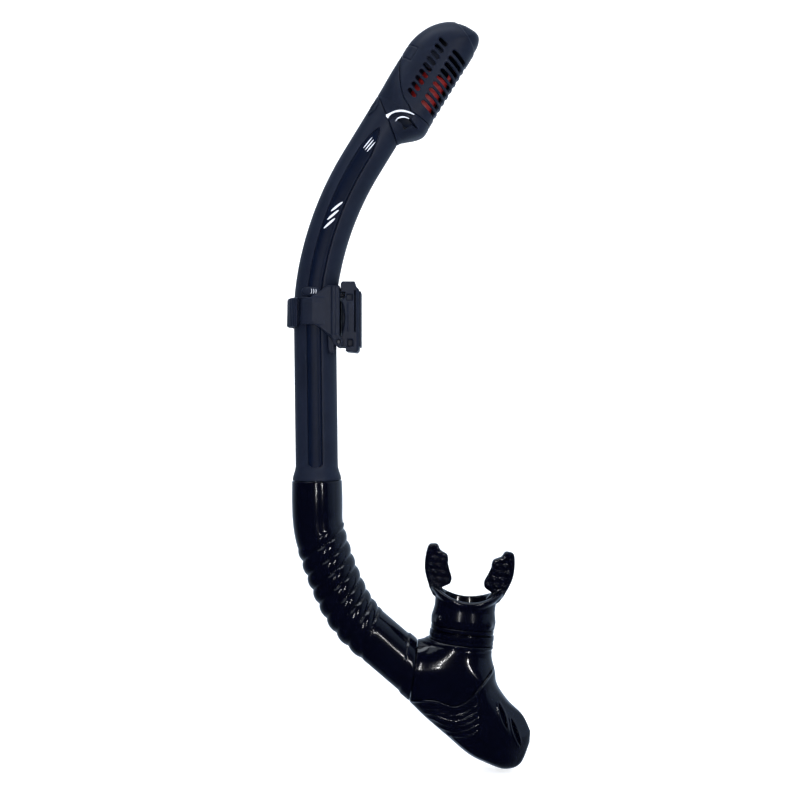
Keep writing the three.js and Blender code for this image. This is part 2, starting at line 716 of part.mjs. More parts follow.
function valveSeat() {
  const rim = purgeRing(PURGE.radius, 8.2, 0.9, 2.7);
  const hub = purgeDisc(2.2, 0.9, 2.7, 12);
  const spoke = (turn) => {
    const bar = new THREE.BoxGeometry(17, 1.6, 1.8).rotateZ(turn).translate(0, 0, 1.8);
    return bar.rotateY(PURGE.heading * DEG).translate(PURGE.x, 0, PURGE.z);
  };
  return join(rim, hub, spoke(0), spoke(Math.PI / 3), spoke((2 * Math.PI) / 3));
}

// ---------------------------------------------------------------- mouthpiece, in its own frame
const TAB_OUTLINE = [
  [-17.6, 17],
  [-19.6, 17],
  [-21.4, 22.7],
  [-23.8, 28.5],
  [-25.8, 34],
  [-26.4, 38.5],
  [-26.2, 46],
  [-25.4, 49.8],
  [-20.6, 50.3],
  [-18.9, 47.4],
  [-14.2, 44.9],
  [-13, 40],
  [-9.8, 32],
  [-11, 26],
  [-15.4, 24],
];

function biteTab(side, half) {
  return slab(TAB_OUTLINE.map(([x, z]) => [side * x, z]), -half, half);
}

function mouthpieceBody() {
  const { wall } = MOUTH;
  const rows = [
    [0.4, 17.6, 12.3, 0],
    [3.2, 17.6, 12.3, 0],
    [3.6, 19.2, 13.8, 0],
    [8, 19.3, 13.9, 0],
    [14, 18.2, 13.2, 1],
    [19, 18.3, 14, 3],
    [23, 19.2, 15.2, 5.4],
    [25, 20, 16, 6.6],
  ];
  const outer = rows.map(([z, width, depth, dip]) => oval(0, z, width, depth, { power: 2.2, dip }));
  const inner = rows.map(([z, width, depth, dip], k) => {
    const boreWidth = k < 4 ? SPIGOT_OVAL.width + GAP : width - wall;
    const boreDepth = k < 4 ? SPIGOT_OVAL.depth + GAP : depth - wall;
    return oval(0, z, boreWidth, boreDepth, { power: 2.2, dip });
  });
  return join(pipe(outer, inner), biteTab(1, 2.2), biteTab(-1, 2.2));
}

function bandOval(width, depth, wall, from, to) {
  return pipe(
    [mouthOval(from, width, depth), mouthOval(to, width, depth)],
    [mouthOval(from, width - wall, depth - wall), mouthOval(to, width - wall, depth - wall)],
  );
}

// ---------------------------------------------------------------- assembly
// The drawing's origin is the foot of the barrel; the part's origin is the strap seat of the keeper.
const snorkel = new THREE.Group();
const drawing = new THREE.Group();
drawing.position.set(-SEAT_X, 0, -SEAT_Z);
snorkel.add(drawing);

drawing.add(piece("upper_tube", barrel(), satinPlastic()));
drawing.add(piece("trim_strip_front", strip(1), glossPlastic()));
drawing.add(piece("trim_strip_back", strip(-1), glossPlastic()));
drawing.add(piece("keeper_band", keeperBand(), satinPlastic()));
drawing.add(piece("strap_gate", strapGate(), satinPlastic()));
const gatePin = crossPin(PIN.x, PIN.z, PIN.radius, -PIN.half, PIN.half);
drawing.add(piece("gate_pin", gatePin, look(0x8a8f96, 0.35, 0.9)));
drawing.add(piece("flex_tube", flexTube(), silicone()));
drawing.add(piece("chamber_housing", chamberHousing(), glossPlastic()));
drawing.add(piece("purge_cover", purgeCover(), silicone()));
drawing.add(piece("purge_gasket", purgeRing(PURGE.radius, PURGE.port + 0.4, 0.25, 0.65), clearSilicone()));
drawing.add(piece("purge_valve_seat", valveSeat(), glossPlastic()));
drawing.add(piece("purge_diaphragm", purgeDisc(10.4, 3, 3.8), clearSilicone()));

const mouth = new THREE.Group();
mouth.position.set(MOUTH.x, 0, MOUTH.z);
mouth.rotation.y = MOUTH.tilt * DEG;
mouth.add(piece("mouthpiece", mouthpieceBody(), silicone()));
mouth.add(piece("mouthpiece_tie", bandOval(18.9, 13.6, 1, 0.8, 2.8), satinPlastic()));
mouth.add(piece("mouth_retaining_ring", bandOval(19.4, 14, 2.8, -5.9, -0.1), glossPlastic()));
drawing.add(mouth);

const top = new THREE.Group();
const corner = place(jointFrame, -BARREL.radius, 0, 0, -TOP.joint);
top.position.copy(corner);
top.rotation.y = jointFrame.heading;
const { shutLever, seal } = leverParts();
top.add(piece("top_base", topBase(), satinPlastic()));
top.add(piece("guard_cover", guardCover(), satinPlastic()));
top.add(piece("top_gasket", topGasket(), clearSilicone()));
top.add(piece("float", floatBody(), look(0xc3241c, 0.4)));
top.add(piece("flap_lever", opened(shutLever), glossPlastic()));
top.add(piece("flap_seal", opened(seal), clearSilicone()));
top.add(piece("flap_pin", crossPin(LEVER.v, LEVER.u, 0.9, -11.8, 11.8, 12), look(0x8a8f96, 0.35, 0.9)));
drawing.add(top);

export default snorkel;
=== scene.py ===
"""A dry-top snorkel in fine meshes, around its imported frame.

It has a satin barrel with inlaid strips, a slotted dry top with a float, a strap keeper, a ridged flex tube,
and a lower chamber with a mouthpiece and a purge valve. Shapes are in millimetres, in the drawing's frame,
whose origin is the foot of the barrel.
"""
import math

import bpy
import numpy as np
from mathutils import Matrix, Vector
from numpy import hypot, maximum, minimum


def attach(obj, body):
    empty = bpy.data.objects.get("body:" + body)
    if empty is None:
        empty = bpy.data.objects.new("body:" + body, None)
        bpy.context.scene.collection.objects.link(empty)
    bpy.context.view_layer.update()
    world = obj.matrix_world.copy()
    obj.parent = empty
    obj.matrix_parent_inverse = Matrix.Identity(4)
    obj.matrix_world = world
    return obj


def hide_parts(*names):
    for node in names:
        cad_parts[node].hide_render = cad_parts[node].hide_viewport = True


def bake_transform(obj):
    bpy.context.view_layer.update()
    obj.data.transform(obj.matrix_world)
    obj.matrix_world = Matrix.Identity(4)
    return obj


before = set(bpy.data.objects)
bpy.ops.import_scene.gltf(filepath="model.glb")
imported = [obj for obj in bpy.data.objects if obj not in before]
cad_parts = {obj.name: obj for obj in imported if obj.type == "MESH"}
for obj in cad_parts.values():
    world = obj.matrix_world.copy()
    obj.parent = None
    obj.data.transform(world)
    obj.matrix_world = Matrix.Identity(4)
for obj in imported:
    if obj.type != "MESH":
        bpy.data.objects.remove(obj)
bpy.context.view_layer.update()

DEG = math.pi / 180
STEP = 0.36  # spacing of the sample points that shapes are drawn from
SEAT_X = 14
SEAT_Z = 99
DRAWING = Matrix.Scale(0.001, 4) @ Matrix.Translation((-SEAT_X, 0, -SEAT_Z))

BARREL = 12.7  # radius of the rigid barrel
BORE = 10.2
FLARE = 14.6
FLARE_HEIGHT = 9
SPIGOT_RADIUS = 11.7
SPIGOT_LENGTH = 20
STRIP_HALF = 4.2
STRIP_START = 8
STRIP_POINT = 16
STRIP_DEPTH = 1.1
STRIP_PROUD = 0.12

CUFF = 14.95
FLEX_BORE = 12
RIDGE_TOP = 15.55
RIDGE_ROOT = 13.6
RIDGE_PITCH = 8.5
RIDGE_STARTS = 3
RIDGE_LEAN = 4.8
RIDGES_FROM = 31.5
RIDGES_TO = 97
LOWER_CUFF = 14.85
LIP = 15.7
SEAM_SKEW = 0.637

MOUTH_X, MOUTH_Z = 87, -91
MOUTH_TILT = 6.5 * DEG
MOUTH_POWER = 2.2  # power of its superellipse: 2 is an ellipse, and more is squarer
PURGE_X, PURGE_Z = 96.5, -146.7
PURGE_TURN = 129.7 * DEG
PURGE_OUT, PURGE_DOWN = 0.769, 0.639  # how far the valve's axis runs along +X and down
CHAMBER_LIMIT = 16.2  # half depth that the chamber and its boot stay within

JOINT_SKEW = -0.74
JOINT_LIFT = 0.6
TOP_DEPTH = 15.5
TOP_HEIGHT = 73.4
TOP_WIDTH = 36.3
TOP_WALL = 1.8
CROWN_AT = 26.2  # how far across the top its highest point lies
SPINE_BENDS = 42
FRONT_BENDS = 62


# --- plane routes
def straight(length):
    return length, 0.0


def bend(radius, degrees):
    return radius * abs(degrees) * DEG, degrees * DEG


def advance(x, z, heading, length, turn, distance):
    """Where a leg leads after a distance; headings are measured from +Z towards +X."""
    new = heading + turn * distance / length
    if turn == 0:
        return x + distance * math.sin(new), z + distance * math.cos(new), new
    radius = length / turn
    x += radius * (math.cos(heading) - math.cos(new))
    z += radius * (math.sin(new) - math.sin(heading))
    return x, z, new


class Route:
    """A plane route of straight and round legs from the drawing's origin."""

    def __init__(self, heading, legs):
        self.knots = []
        self.length = 0.0
        x, z, turned = 0.0, 0.0, heading * DEG
        for length, turn in legs:
            self.knots.append((self.length, x, z, turned, length, turn))
            x, z, turned = advance(x, z, turned, length, turn, length)
            self.length += length
        self.knots.append((self.length, x, z, turned, 1.0, 0.0))

    def at(self, along):
        passed = [knot for knot in self.knots if knot[0] <= along]
        start, x, z, heading, length, turn = passed[-1] if passed else self.knots[0]
        return advance(x, z, heading, length, turn, along - start)

    def spot(self, along, side=0.0, depth=0.0, lift=0.0):
        """A point beside the route: side across it in the plane, lift further along it."""
        x, z, heading = self.at(along)
        across, up = math.cos(heading), math.sin(heading)
        return x + side * across + lift * up, depth, z - side * up + lift * across


barrel_route = Route(-0.7, [straight(96.6), bend(141, 11.2), bend(193.5, 21), straight(29.9)])
flex_route = Route(
    179.3, [straight(20), bend(60, -16.3), straight(6.5), bend(190, -9.5), bend(60, -23), straight(35)]
)
TOP_ORIGIN = barrel_route.spot(barrel_route.length, side=-BARREL, lift=-JOINT_LIFT)
TOP_TURN = barrel_route.at(barrel_route.length)[2]
TOP = DRAWING @ Matrix.Translation(TOP_ORIGIN) @ Matrix.Rotation(TOP_TURN, 4, "Y")
MOUTH = DRAWING @ Matrix.Translation((MOUTH_X, 0, MOUTH_Z)) @ Matrix.Rotation(MOUTH_TILT, 4, "Y")
PURGE = DRAWING @ Matrix.Translation((PURGE_X, 0, PURGE_Z)) @ Matrix.Rotation(PURGE_TURN, 4, "Y")


# --- meshes
def moved(shape, place):
    """A shape carried into another frame, with its faces as plain lists."""
    points, faces = shape
    if isinstance(faces, np.ndarray):
        faces = faces.tolist()
    turn = np.array(place)
    return np.asarray(points, float) @ turn[:3, :3].T + turn[:3, 3], faces


def made(name, shape, place, look, painted_highlights=None, first_highlight=0):
    """A mesh object from points and faces in a frame. Faces past a given count take the second material, a
    pale painted highlight.
    """
    points, faces = moved(shape, place)
    mesh = bpy.data.meshes.new(name)
    mesh.from_pydata(points.tolist(), [], faces)
    mesh.materials.append(look)
    if painted_highlights:
        mesh.materials.append(painted_highlights)
        highlighted = [int(k >= first_highlight) for k in range(len(mesh.polygons))]
        mesh.polygons.foreach_set("material_index", highlighted)
    mesh.polygons.foreach_set("use_smooth", [True] * len(mesh.polygons))
    mesh.update()
    piece = bpy.data.objects.new(name, mesh)
    bpy.context.scene.collection.objects.link(piece)
    return piece


def creased(piece, degrees):
    """Keeps the sharp edges of a lofted piece sharp in its shading."""
    piece.data.set_sharp_from_angle(angle=degrees * DEG)
    return piece


def add(node, body, shape, place, look, crease=None, painted_highlights=None, first_highlight=0):
    """Makes a piece and puts it on its body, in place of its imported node."""
    piece = made(node + "_skin", shape, place, look, painted_highlights, first_highlight)
    if crease:
        creased(piece, crease)
    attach(piece, body)
    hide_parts(node)


def full_turn(count):
    return np.linspace(0, 2 * math.pi, count, endpoint=False)


def lofted(rings, loop=False):
    """Rings joined in order, with both ends closed, or with the last ring joined to the first."""
    count, sides = len(rings), len(rings[0])
    near = np.arange(sides)
    far = (near + 1) % sides
    faces = []
    for r in range(count if loop else count - 1):
        low, high = r * sides, (r + 1) % count * sides
        faces += np.stack([low + near, low + far, high + far, high + near], axis=1).tolist()
    if not loop:
        faces.append(near[::-1].tolist())
        faces.append((near + (count - 1) * sides).tolist())
    return np.concatenate([np.asarray(ring, float) for ring in rings]), faces


def merged(*parts):
    """Several point and face sets as one."""
    points, faces, first = [], [], 0
    for some_points, some_faces in parts:
        points.append(np.asarray(some_points, float))
        faces += [[first + corner for corner in face] for face in some_faces]
        first += len(some_points)
    return np.concatenate(points), faces


# --- shapes drawn from distance fields
def ease(share):
    t = np.clip(share, 0, 1)
    return t * t * (3 - 2 * t)


def soft_min(a, b, blend):
    """The union of two fields, with a fillet about as wide as blend."""
    share = np.clip(0.5 + 0.5 * (b - a) / blend, 0, 1)
    return b + (a - b) * share - blend * share * (1 - share)


def soft_max(a, b, blend):
    """What two fields share, with its new edges rounded."""
    return -soft_min(-a, -b, blend)


def hump(offset, width):
    """A smooth ridge, 1 at its crest and near 0 at twice its width from there."""
    return np.exp(-((offset / width) ** 2))


def outline(x, z, points):
    """Distance to a closed outline in the XZ plane, negative inside."""
    nearest, sign = 1e9, 1.0
    for (ax, az), (bx, bz) in zip(points, points[1:] + points[:1]):
        ex, ez = bx - ax, bz - az
        wx, wz = x - ax, z - az
        share = np.clip((wx * ex + wz * ez) / (ex * ex + ez * ez), 0, 1)
        nearest = minimum(nearest, (wx - share * ex) ** 2 + (wz - share * ez) ** 2)
        over, under, left = z >= az, z < bz, ex * wz > ez * wx
        sign = np.where((over & under & left) | ~(over | under | left), -sign, sign)
    return sign * np.sqrt(nearest)


def outward(x, z, points):
    """Distance to an open line of points in the XZ plane."""
    nearest = 1e9
    for (ax, az), (bx, bz) in zip(points, points[1:]):
        ex, ez = bx - ax, bz - az
        share = np.clip(((x - ax) * ex + (z - az) * ez) / (ex * ex + ez * ez), 0, 1)
        nearest = minimum(nearest, (x - ax - share * ex) ** 2 + (z - az - share * ez) ** 2)
    return np.sqrt(nearest)


def plate(flat, y, half, edge=0.5):
    """A flat outline's field made solid from -half to half, with rounded rims."""
    a = flat + edge
    b = abs(y) - half + edge
    return minimum(maximum(a, b), 0) + hypot(maximum(a, 0), maximum(b, 0)) - edge


def brick(x, y, z, middle, half, edge=0.5):
    """A block with rounded edges."""
    a, b, c = [abs(p - m) - h + edge for p, m, h in zip((x, y, z), middle, half)]
    outside = np.sqrt(maximum(a, 0) ** 2 + maximum(b, 0) ** 2 + maximum(c, 0) ** 2)
    return outside + minimum(maximum(maximum(a, b), c), 0) - edge


def bar(x, y, z, start, end, radius):
    """A round-ended bar between two points."""
    line = [b - a for a, b in zip(start, end)]
    offset = [p - a for p, a in zip((x, y, z), start)]
    share = sum(o * s for o, s in zip(offset, line)) / sum(s * s for s in line)
    share = np.clip(share, 0, 1)
    return np.sqrt(sum((o - share * s) ** 2 for o, s in zip(offset, line))) - radius


def ball(x, y, z, middle, radii):
    """An ellipsoid, near enough for cutting and joining."""
    a, b, c = [(p - m) / r for p, m, r in zip((x, y, z), middle, radii)]
    near = np.sqrt(a * a + b * b + c * c)
    slope = np.sqrt((a / radii[0]) ** 2 + (b / radii[1]) ** 2 + (c / radii[2]) ** 2)
    return near * (near - 1) / maximum(slope, 1e-4)


def squarish(a, b, power):
    """Superellipse measure: 1 on the section whose half axes a and b are measured in."""
    return (abs(a) ** power + abs(b) ** power) ** (1 / power)


def evened(shape, step):
    """Turns any measure that is 0 on the surface into a distance near it."""
    slope = np.gradient(shape, step)
    return shape / maximum(np.sqrt(sum(s * s for s in slope)), 0.02)


def skin(field, low, step):
    """The zero surface of a field, one point to each cell it passes through."""
    inside = field < 0
    count = np.zeros([n - 1 for n in field.shape], np.int8)
    for i in (0, 1):
        for j in (0, 1):
            for k in (0, 1):
                nx, ny, nz = count.shape
                count += inside[i : nx + i, j : ny + j, k : nz + k]
    crossed = (count > 0) & (count < 8)
    cells = np.argwhere(crossed)
    number = np.zeros(crossed.shape, np.int64)
    number[crossed] = np.arange(len(cells))
    total = np.zeros((len(cells), 3))
    hits = np.zeros(len(cells))
    for axis in range(3):
        others = [d for d in range(3) if d != axis]
        for a in (0, 1):
            for b in (0, 1):
                start = cells.copy()
                start[:, others[0]] += a
                start[:, others[1]] += b
                end = start.copy()
                end[:, axis] += 1
                first, second = field[tuple(start.T)], field[tuple(end.T)]
                cross = (first < 0) != (second < 0)
                point = start[cross].astype(float)
                point[:, axis] += first[cross] / (first[cross] - second[cross])
                total[cross] += point
                hits[cross] += 1
    points = np.asarray(low) + step * total / hits[:, None]
    faces = []
    for axis in range(3):
        u, v = (axis + 1) % 3, (axis + 2) % 3
        window = [slice(1, -1)] * 3
        window[axis] = slice(0, -1)
        ahead = list(window)
        ahead[axis] = slice(1, None)
        here, there = inside[tuple(window)], inside[tuple(ahead)]
        for leaving in (True, False):
            edges = np.argwhere(here & ~there if leaving else ~here & there)
            edges += [0 if d == axis else 1 for d in range(3)]
            corners = []
            for back_u, back_v in ((1, 1), (0, 1), (0, 0), (1, 0)):
                cell = edges.copy()
                cell[:, u] -= back_u
                cell[:, v] -= back_v
                corners.append(number[tuple(cell.T)])
            quads = np.stack(corners, axis=1)
            faces.append(quads if leaving else quads[:, ::-1])
    return points, np.concatenate(faces)


def sculpted(field, low, high, step=STEP):
    """Points and faces of a shape, drawn from its field inside a box."""
    counts = [int(math.ceil((b - a) / step)) + 1 for a, b in zip(low, high)]
    x, y, z = [(a + step * np.arange(count)).astype(np.float32) for a, count in zip(low, counts)]
    values = field(x[:, None, None], y[None, :, None], z[None, None, :])
    return skin(np.broadcast_to(values, (len(x), len(y), len(z))).astype(np.float64), low, step)


def between(a, b, c, d, t):
    """A point of the smooth line from b to c, with a before it and d after it."""
    point = []
    for p, q, r, s in zip(a, b, c, d):
        bow = (2 * p - 5 * q + 4 * r - s) * t * t
        twist = (3 * q - p - 3 * r + s) * t**3
        point.append(0.5 * (2 * q + (r - p) * t + bow + twist))
    return tuple(point)


def curve(points, steps=6):
    """A smooth line through points."""
    ends = [points[0], *points, points[-1]]
    line = []
    for a, b, c, d in zip(ends, ends[1:], ends[2:], ends[3:]):
        line += [between(a, b, c, d, k / steps) for k in range(steps)]
    return line + [tuple(points[-1])]


# --- surface finishes
def preset(node, **values):
    """Sets a node's inputs by name, with _ for a space."""
    for socket, value in values.items():
        node.inputs[socket.replace("_", " ")].default_value = value


def finish(name, colour, roughness, grain=0.3, speckle=0.25, mottle=60, **constants):
    """A moulded surface: a mottled colour, an uneven gloss and a fine grain that catches the light."""
    look = bpy.data.materials.new(name)
    look.use_nodes = True
    nodes, links = look.node_tree.nodes, look.node_tree.links
    shader = nodes["Principled BSDF"]
    where = nodes.new("ShaderNodeTexCoord")

    def noise(scale, detail):
        node = nodes.new("ShaderNodeTexNoise")
        preset(node, Scale=scale, Detail=detail)
        links.new(where.outputs["Object"], node.inputs["Vector"])
        return node

    clouds = noise(mottle, 4)
    tint = nodes.new("ShaderNodeMix")
    tint.data_type = "RGBA"
    tint.inputs[6].default_value = (*[c * (1 - speckle) for c in colour], 1)
    tint.inputs[7].default_value = (*[c * (1 + speckle) for c in colour], 1)
    links.new(clouds.outputs["Fac"], tint.inputs[0])
    links.new(tint.outputs[2], shader.inputs["Base Color"])
    gloss = nodes.new("ShaderNodeMapRange")
    preset(gloss, To_Min=roughness * 0.8, To_Max=roughness * 1.2)
    links.new(noise(mottle * 9, 3).outputs["Fac"], gloss.inputs["Value"])
    links.new(gloss.outputs["Result"], shader.inputs["Roughness"])
    bump = nodes.new("ShaderNodeBump")
    preset(bump, Strength=grain, Distance=0.00008)
    links.new(noise(2600, 2).outputs["Fac"], bump.inputs["Height"])
    links.new(bump.outputs["Normal"], shader.inputs["Normal"])
    preset(shader, **constants)
    return look


SATIN = finish("satin_plastic", (0.0050, 0.0078, 0.0180), 0.42, grain=0.5, Specular_IOR_Level=0.15)
INLAY = finish("inlay_plastic", (0.0014, 0.0034, 0.011), 0.30, grain=0.3, Specular_IOR_Level=0.06)
GLOSS = finish("gloss_plastic", (0.0006, 0.0008, 0.0034), 0.10, grain=0.05, Specular_IOR_Level=0.3)
RUBBER = finish("black_silicone", (0.0007, 0.0009, 0.0036), 0.11, grain=0.1, Specular_IOR_Level=0.3)
SOFT = {"Subsurface_Weight": 0.1, "Subsurface_Scale": 0.001}
SEAL = finish("seal_silicone", (0.05, 0.055, 0.065), 0.35, grain=0.2, **SOFT)
RED = finish("float_red", (0.26, 0.010, 0.009), 0.4, grain=0.3)
STEEL = finish("pin_steel", (0.05, 0.052, 0.06), 0.4, grain=0.2, Metallic=1.0)
# A pale colour painted on the stop's arcs, the strip's bars and the arch lips as a highlight.
HIGHLIGHT_PAINT = finish("painted_highlight", (0.62, 0.64, 0.70), 0.22, grain=0.1, speckle=0.08)


# --- barrel
def strip_half(along):
    """Half the width of the inlaid strip: round at its foot and pointed at its top."""
    last = barrel_route.length - STRIP_START
    if not STRIP_START < along < last:
        return 0.0
    foot = min((along - STRIP_START) / 2.5, 1)
    point = min((last - along) / STRIP_POINT, 1)
    return STRIP_HALF * math.sqrt(foot * (2 - foot)) * point**0.6


def barrel_skew(along):
    return JOINT_SKEW * float(ease((along - barrel_route.length + 32) / 32))


def ring_on(route, along, angles, radii, skew=0.0):
    """A ring across a route; angles are measured from the front, towards the route's side."""
    side = radii * np.sin(angles)
    return np.stack(route.spot(along, side, -radii * np.cos(angles), skew * side), axis=1)


def barrel_ring(along, radius):
    """One ring of the barrel, with the two grooves that the strips lie in."""
    half = strip_half(along)
    sunk = min(half / 0.8, 1)
    edge = max(half + 0.18 * sunk, 0.02) / radius
    quarter = [(0, 1.4), (edge * 0.5, 1.4), (edge, 1.4)]
    quarter += [(edge + 0.003, 0.35), (edge + 0.012, 0.06), (edge + 0.03, 0)]
    quarter = [(angle, radius - fall * sunk) for angle, fall in quarter]
    start = quarter[-1][0]
    sides = 15
    quarter += [(start + (math.pi / 2 - start) * k / sides, radius) for k in range(1, sides + 1)]
    whole = [(-angle, size) for angle, size in quarter[:0:-1]] + quarter
    whole += [(math.pi - angle, size) for angle, size in quarter[-2::-1]]
    whole += [(math.pi + angle, size) for angle, size in quarter[1:-1]]
    angles, radii = np.array(whole).T
    return ring_on(barrel_route, along, angles, radii, barrel_skew(along))


def barrel():
    """The barrel with its flared foot, its bore and the spigot for the flex tube."""
    end = barrel_route.length - 0.15
    outer = [(-SPIGOT_LENGTH, SPIGOT_RADIUS - 0.6)]
    outer += [(0.8 - SPIGOT_LENGTH, SPIGOT_RADIUS), (-0.1, SPIGOT_RADIUS)]
    outer += [(0, FLARE - 0.5), (0.15, FLARE - 0.15), (0.5, FLARE)]
    stations = [0.5 + 0.5 * k for k in range(1, 22)]
    stations += list(np.arange(12.5, barrel_route.length - 26, 1.5))
    stations += list(np.arange(barrel_route.length - 26, end - 0.8, 0.8))
    outer += [(s, BARREL + (FLARE - BARREL) * (1 - float(ease(s / FLARE_HEIGHT)))) for s in stations]
    outer += [(end - 0.45, BARREL), (end - 0.1, BARREL - 0.12), (end, BARREL - 0.45)]
    rings = [barrel_ring(along, radius) for along, radius in outer]
    bores = [(end, BORE)] + [(s, BORE) for s in stations[::-2]] + [(-SPIGOT_LENGTH, BORE)]
    angles = np.linspace(-math.pi / 2, 1.5 * math.pi, len(rings[0]), endpoint=False)
    for along, radius in bores:
        radii = np.full(len(angles), radius)
        rings.append(ring_on(barrel_route, along, angles, radii, barrel_skew(along)))
    return lofted(rings, loop=True)


RIBBON_SECTION = ((-1, -0.4), (-1, 0.35), (-0.55, 0.85), (0, 1), (0.55, 0.85), (1, 0.35), (1, -0.4))


def ribbon(surface, path, halves, height):
    """A raised ribbon on a surface, along points of that surface, with a half width at each point."""
    rings = []
    for k, ((a, b), half) in enumerate(zip(path, halves)):
        before, after = path[max(k - 1, 0)], path[min(k + 1, len(path) - 1)]
        run, rise = after[0] - before[0], after[1] - before[1]
        size = math.hypot(run, rise)
        ring = []
        for across, up in RIBBON_SECTION:
            reach = across * half / size
            ring.append(surface(a - reach * rise, b + reach * run, up * height))
        rings.append(ring)
    return lofted(rings)


def stop_boss():
    """The oval stop above the keeper."""

    def field(x, y, z):
        wide = hypot(maximum(abs(x) - 3, 0), z) - 2.7
        dome = ball(x, y, z, (0, 0.9, 0), (6.2, 2.3, 3.4))
        return soft_max(plate(wide, y, 1.3, 0.5), dome, 0.5)

    return sculpted(field, (-6.5, -2, -3.5), (6.5, 2, 3.5), STEP * 0.55)


def barrel_latch():
    """The small lens-shaped catch beside the joint, with a slot down its middle."""

    def field(x, y, z):
        lens = maximum(hypot(x - 5.2, z) - 8, hypot(x + 5.2, z) - 8)
        body = plate(lens, y, 0.75, 0.35)
        return soft_max(body, -brick(x, y, z, (0.3, -0.8, 0), (0.35, 0.7, 3.2), 0.2), 0.15)

    return sculpted(field, (-3.6, -1.2, -7), (3.6, 1.2, 7), STEP * 0.6)


def on_barrel(along, angle, radius):
    """A frame on the barrel's skin, inside the drawing's frame: -y looks out, z runs along the barrel."""
    x, z, heading = barrel_route.at(along)
    turn = Matrix.Rotation(heading, 4, "Y") @ Matrix.Rotation(angle * DEG, 4, "Z")
    return Matrix.Translation((x, 0, z)) @ turn @ Matrix.Translation((0, -radius, 0))


def boss_arcs():
    """Three raised arcs on the right end of the stop, painted pale as a highlight."""

    def face(x, z, height):
        dome = 0.9 - 2.3 * math.sqrt(max(1 - (x / 6.2) ** 2 - (z / 3.4) ** 2, 0))
        return x, max(dome, -1.3) - height, z

    arcs = []
    for size in (2.2, 3.5, 4.8):
        spread = math.asin(1.35 / size)
        turns = np.linspace(-spread, spread, 12)
        path = [(size * math.cos(turn) - 1.2, size * math.sin(turn)) for turn in turns]
        arcs.append(ribbon(face, path, [0.13] * len(path), 0.15))
    return merged(*arcs)


BOSS_AT = on_barrel(111.9, -11, BARREL - 0.1) @ Matrix.Rotation(-3 * DEG, 4, "Y")
boss = moved(stop_boss(), BOSS_AT)
latch = moved(barrel_latch(), on_barrel(barrel_route.length + 1.5, -53, BARREL - 0.15))
tube_body = merged(barrel(), boss, latch)
tube_shape = merged(tube_body, moved(boss_arcs(), BOSS_AT))
# The arcs on the stop take the pale painted highlight.
add("upper_tube", "barrel", tube_shape, DRAWING, SATIN, 50, HIGHLIGHT_PAINT, len(tube_body[1]))


def strip_surface(along, offset, height):
    """A point on the strip: offset across it, height above the barrel's radius."""
    radius = BARREL + height
    angle = offset / BARREL
    side = radius * math.sin(angle)
    return barrel_route.spot(along, side, -radius * math.cos(angle), barrel_skew(along) * side)


def strip_body():
    """The inlay, with rolled edges and a shallow valley down its middle."""
    last = barrel_route.length - STRIP_START
    stations = [STRIP_START + rise for rise in (0.05, 0.2, 0.6, 1.3, 2.5)]
    stations += list(np.arange(STRIP_START + 4, last - STRIP_POINT, 1.5))
    stations += [last - STRIP_POINT * (1 - k / 16) ** 1.5 for k in range(16)] + [last - 0.1]
    shares = [-1, -0.97, -0.9, -0.6, -0.3, 0, 0.3, 0.6, 0.9, 0.97, 1]
    falls = [0.5, 0.14, 0, 0, 0.1, 0.16, 0.1, 0, 0, 0.14, 0.5]
    rings = []
    for along in stations:
        half = strip_half(along)
        sunk = 0.75 * float(ease((along - last + 8) / 2.5))
        ring = []
        for share, fall in zip(shares, falls):
            ring.append(strip_surface(along, half * share, STRIP_PROUD - sunk - fall * (1 - sunk)))
        rings.append(ring + [strip_surface(along, edge, -STRIP_DEPTH) for edge in (half, -half)])
    return lofted(rings)


def slanted_bars(first, last, step, half):
    """Three raised bars side by side; each goes from a distance and offset on the strip to another."""
    shares = np.linspace(0, 1, 12)
    halves = [half * max(math.sin(math.pi * share) ** 0.4, 0.3) for share in shares]
    painted_highlights = []
    for k in range(3):
        start = (first[0] + k * step[0], first[1] + k * step[1])
        end = (last[0] + k * step[0], last[1] + k * step[1])
        path = [(start[0] + (end[0] - start[0]) * t, start[1] + (end[1] - start[1]) * t) for t in shares]
        painted_highlights.append(ribbon(strip_surface, path, halves, 0.5))
    return painted_highlights


def mirrored(shape):
    points, faces = shape
    return np.asarray(points) * (1, -1, 1), [face[::-1] for face in faces]


for node, inlay in (("trim_strip_front", strip_body()), ("trim_strip_back", mirrored(strip_body()))):
    painted_highlights = []
    if node == "trim_strip_front":
        painted_highlights += slanted_bars((149.5, -2.6), (157, 1.6), (5.4, 0.3), 0.62)
        painted_highlights += slanted_bars((201.5, -2.0), (209.5, -0.9), (-0.2, 1.45), 0.3)
    # The bars on the front strip take the pale painted highlight.
    strip = merged(inlay, *painted_highlights)
    add(node, "barrel", strip, DRAWING, INLAY, 60, HIGHLIGHT_PAINT, len(inlay[1]))


# --- keeper
BAND_X, BAND_Z, BAND_TURN = barrel_route.at(101.8)
PIN_X, PIN_Z = 13.6, 82.3
GATE_HALF = 12
RIM_X = 14.3  # flat face of the bracket, round the pocket that the strap lies in

WEDGE = [(-2.3, 94.6), (-2.3, 109.4), (7, 115.5), (RIM_X, 115.5), (RIM_X, 85.4), (12, 82.6), (8.6, 85.6)]
LEG = [(6.9, 88), (11.2, 86), (11.0, 76.2), (8.5, 75.3), (7.3, 78)]
ARM = [(8.6, 86.5), (14, 86.5), (16.2, 82.3), (13.6, 79.6), (11.4, 80.6)]


def axes(x, z, middle_x, middle_z, turn):
    """Distances across and along a direction that is turned from +Z towards +X."""
    dx, dz = x - middle_x, z - middle_z
    across, up = math.cos(turn), math.sin(turn)
    return dx * across - dz * up, dx * up + dz * across


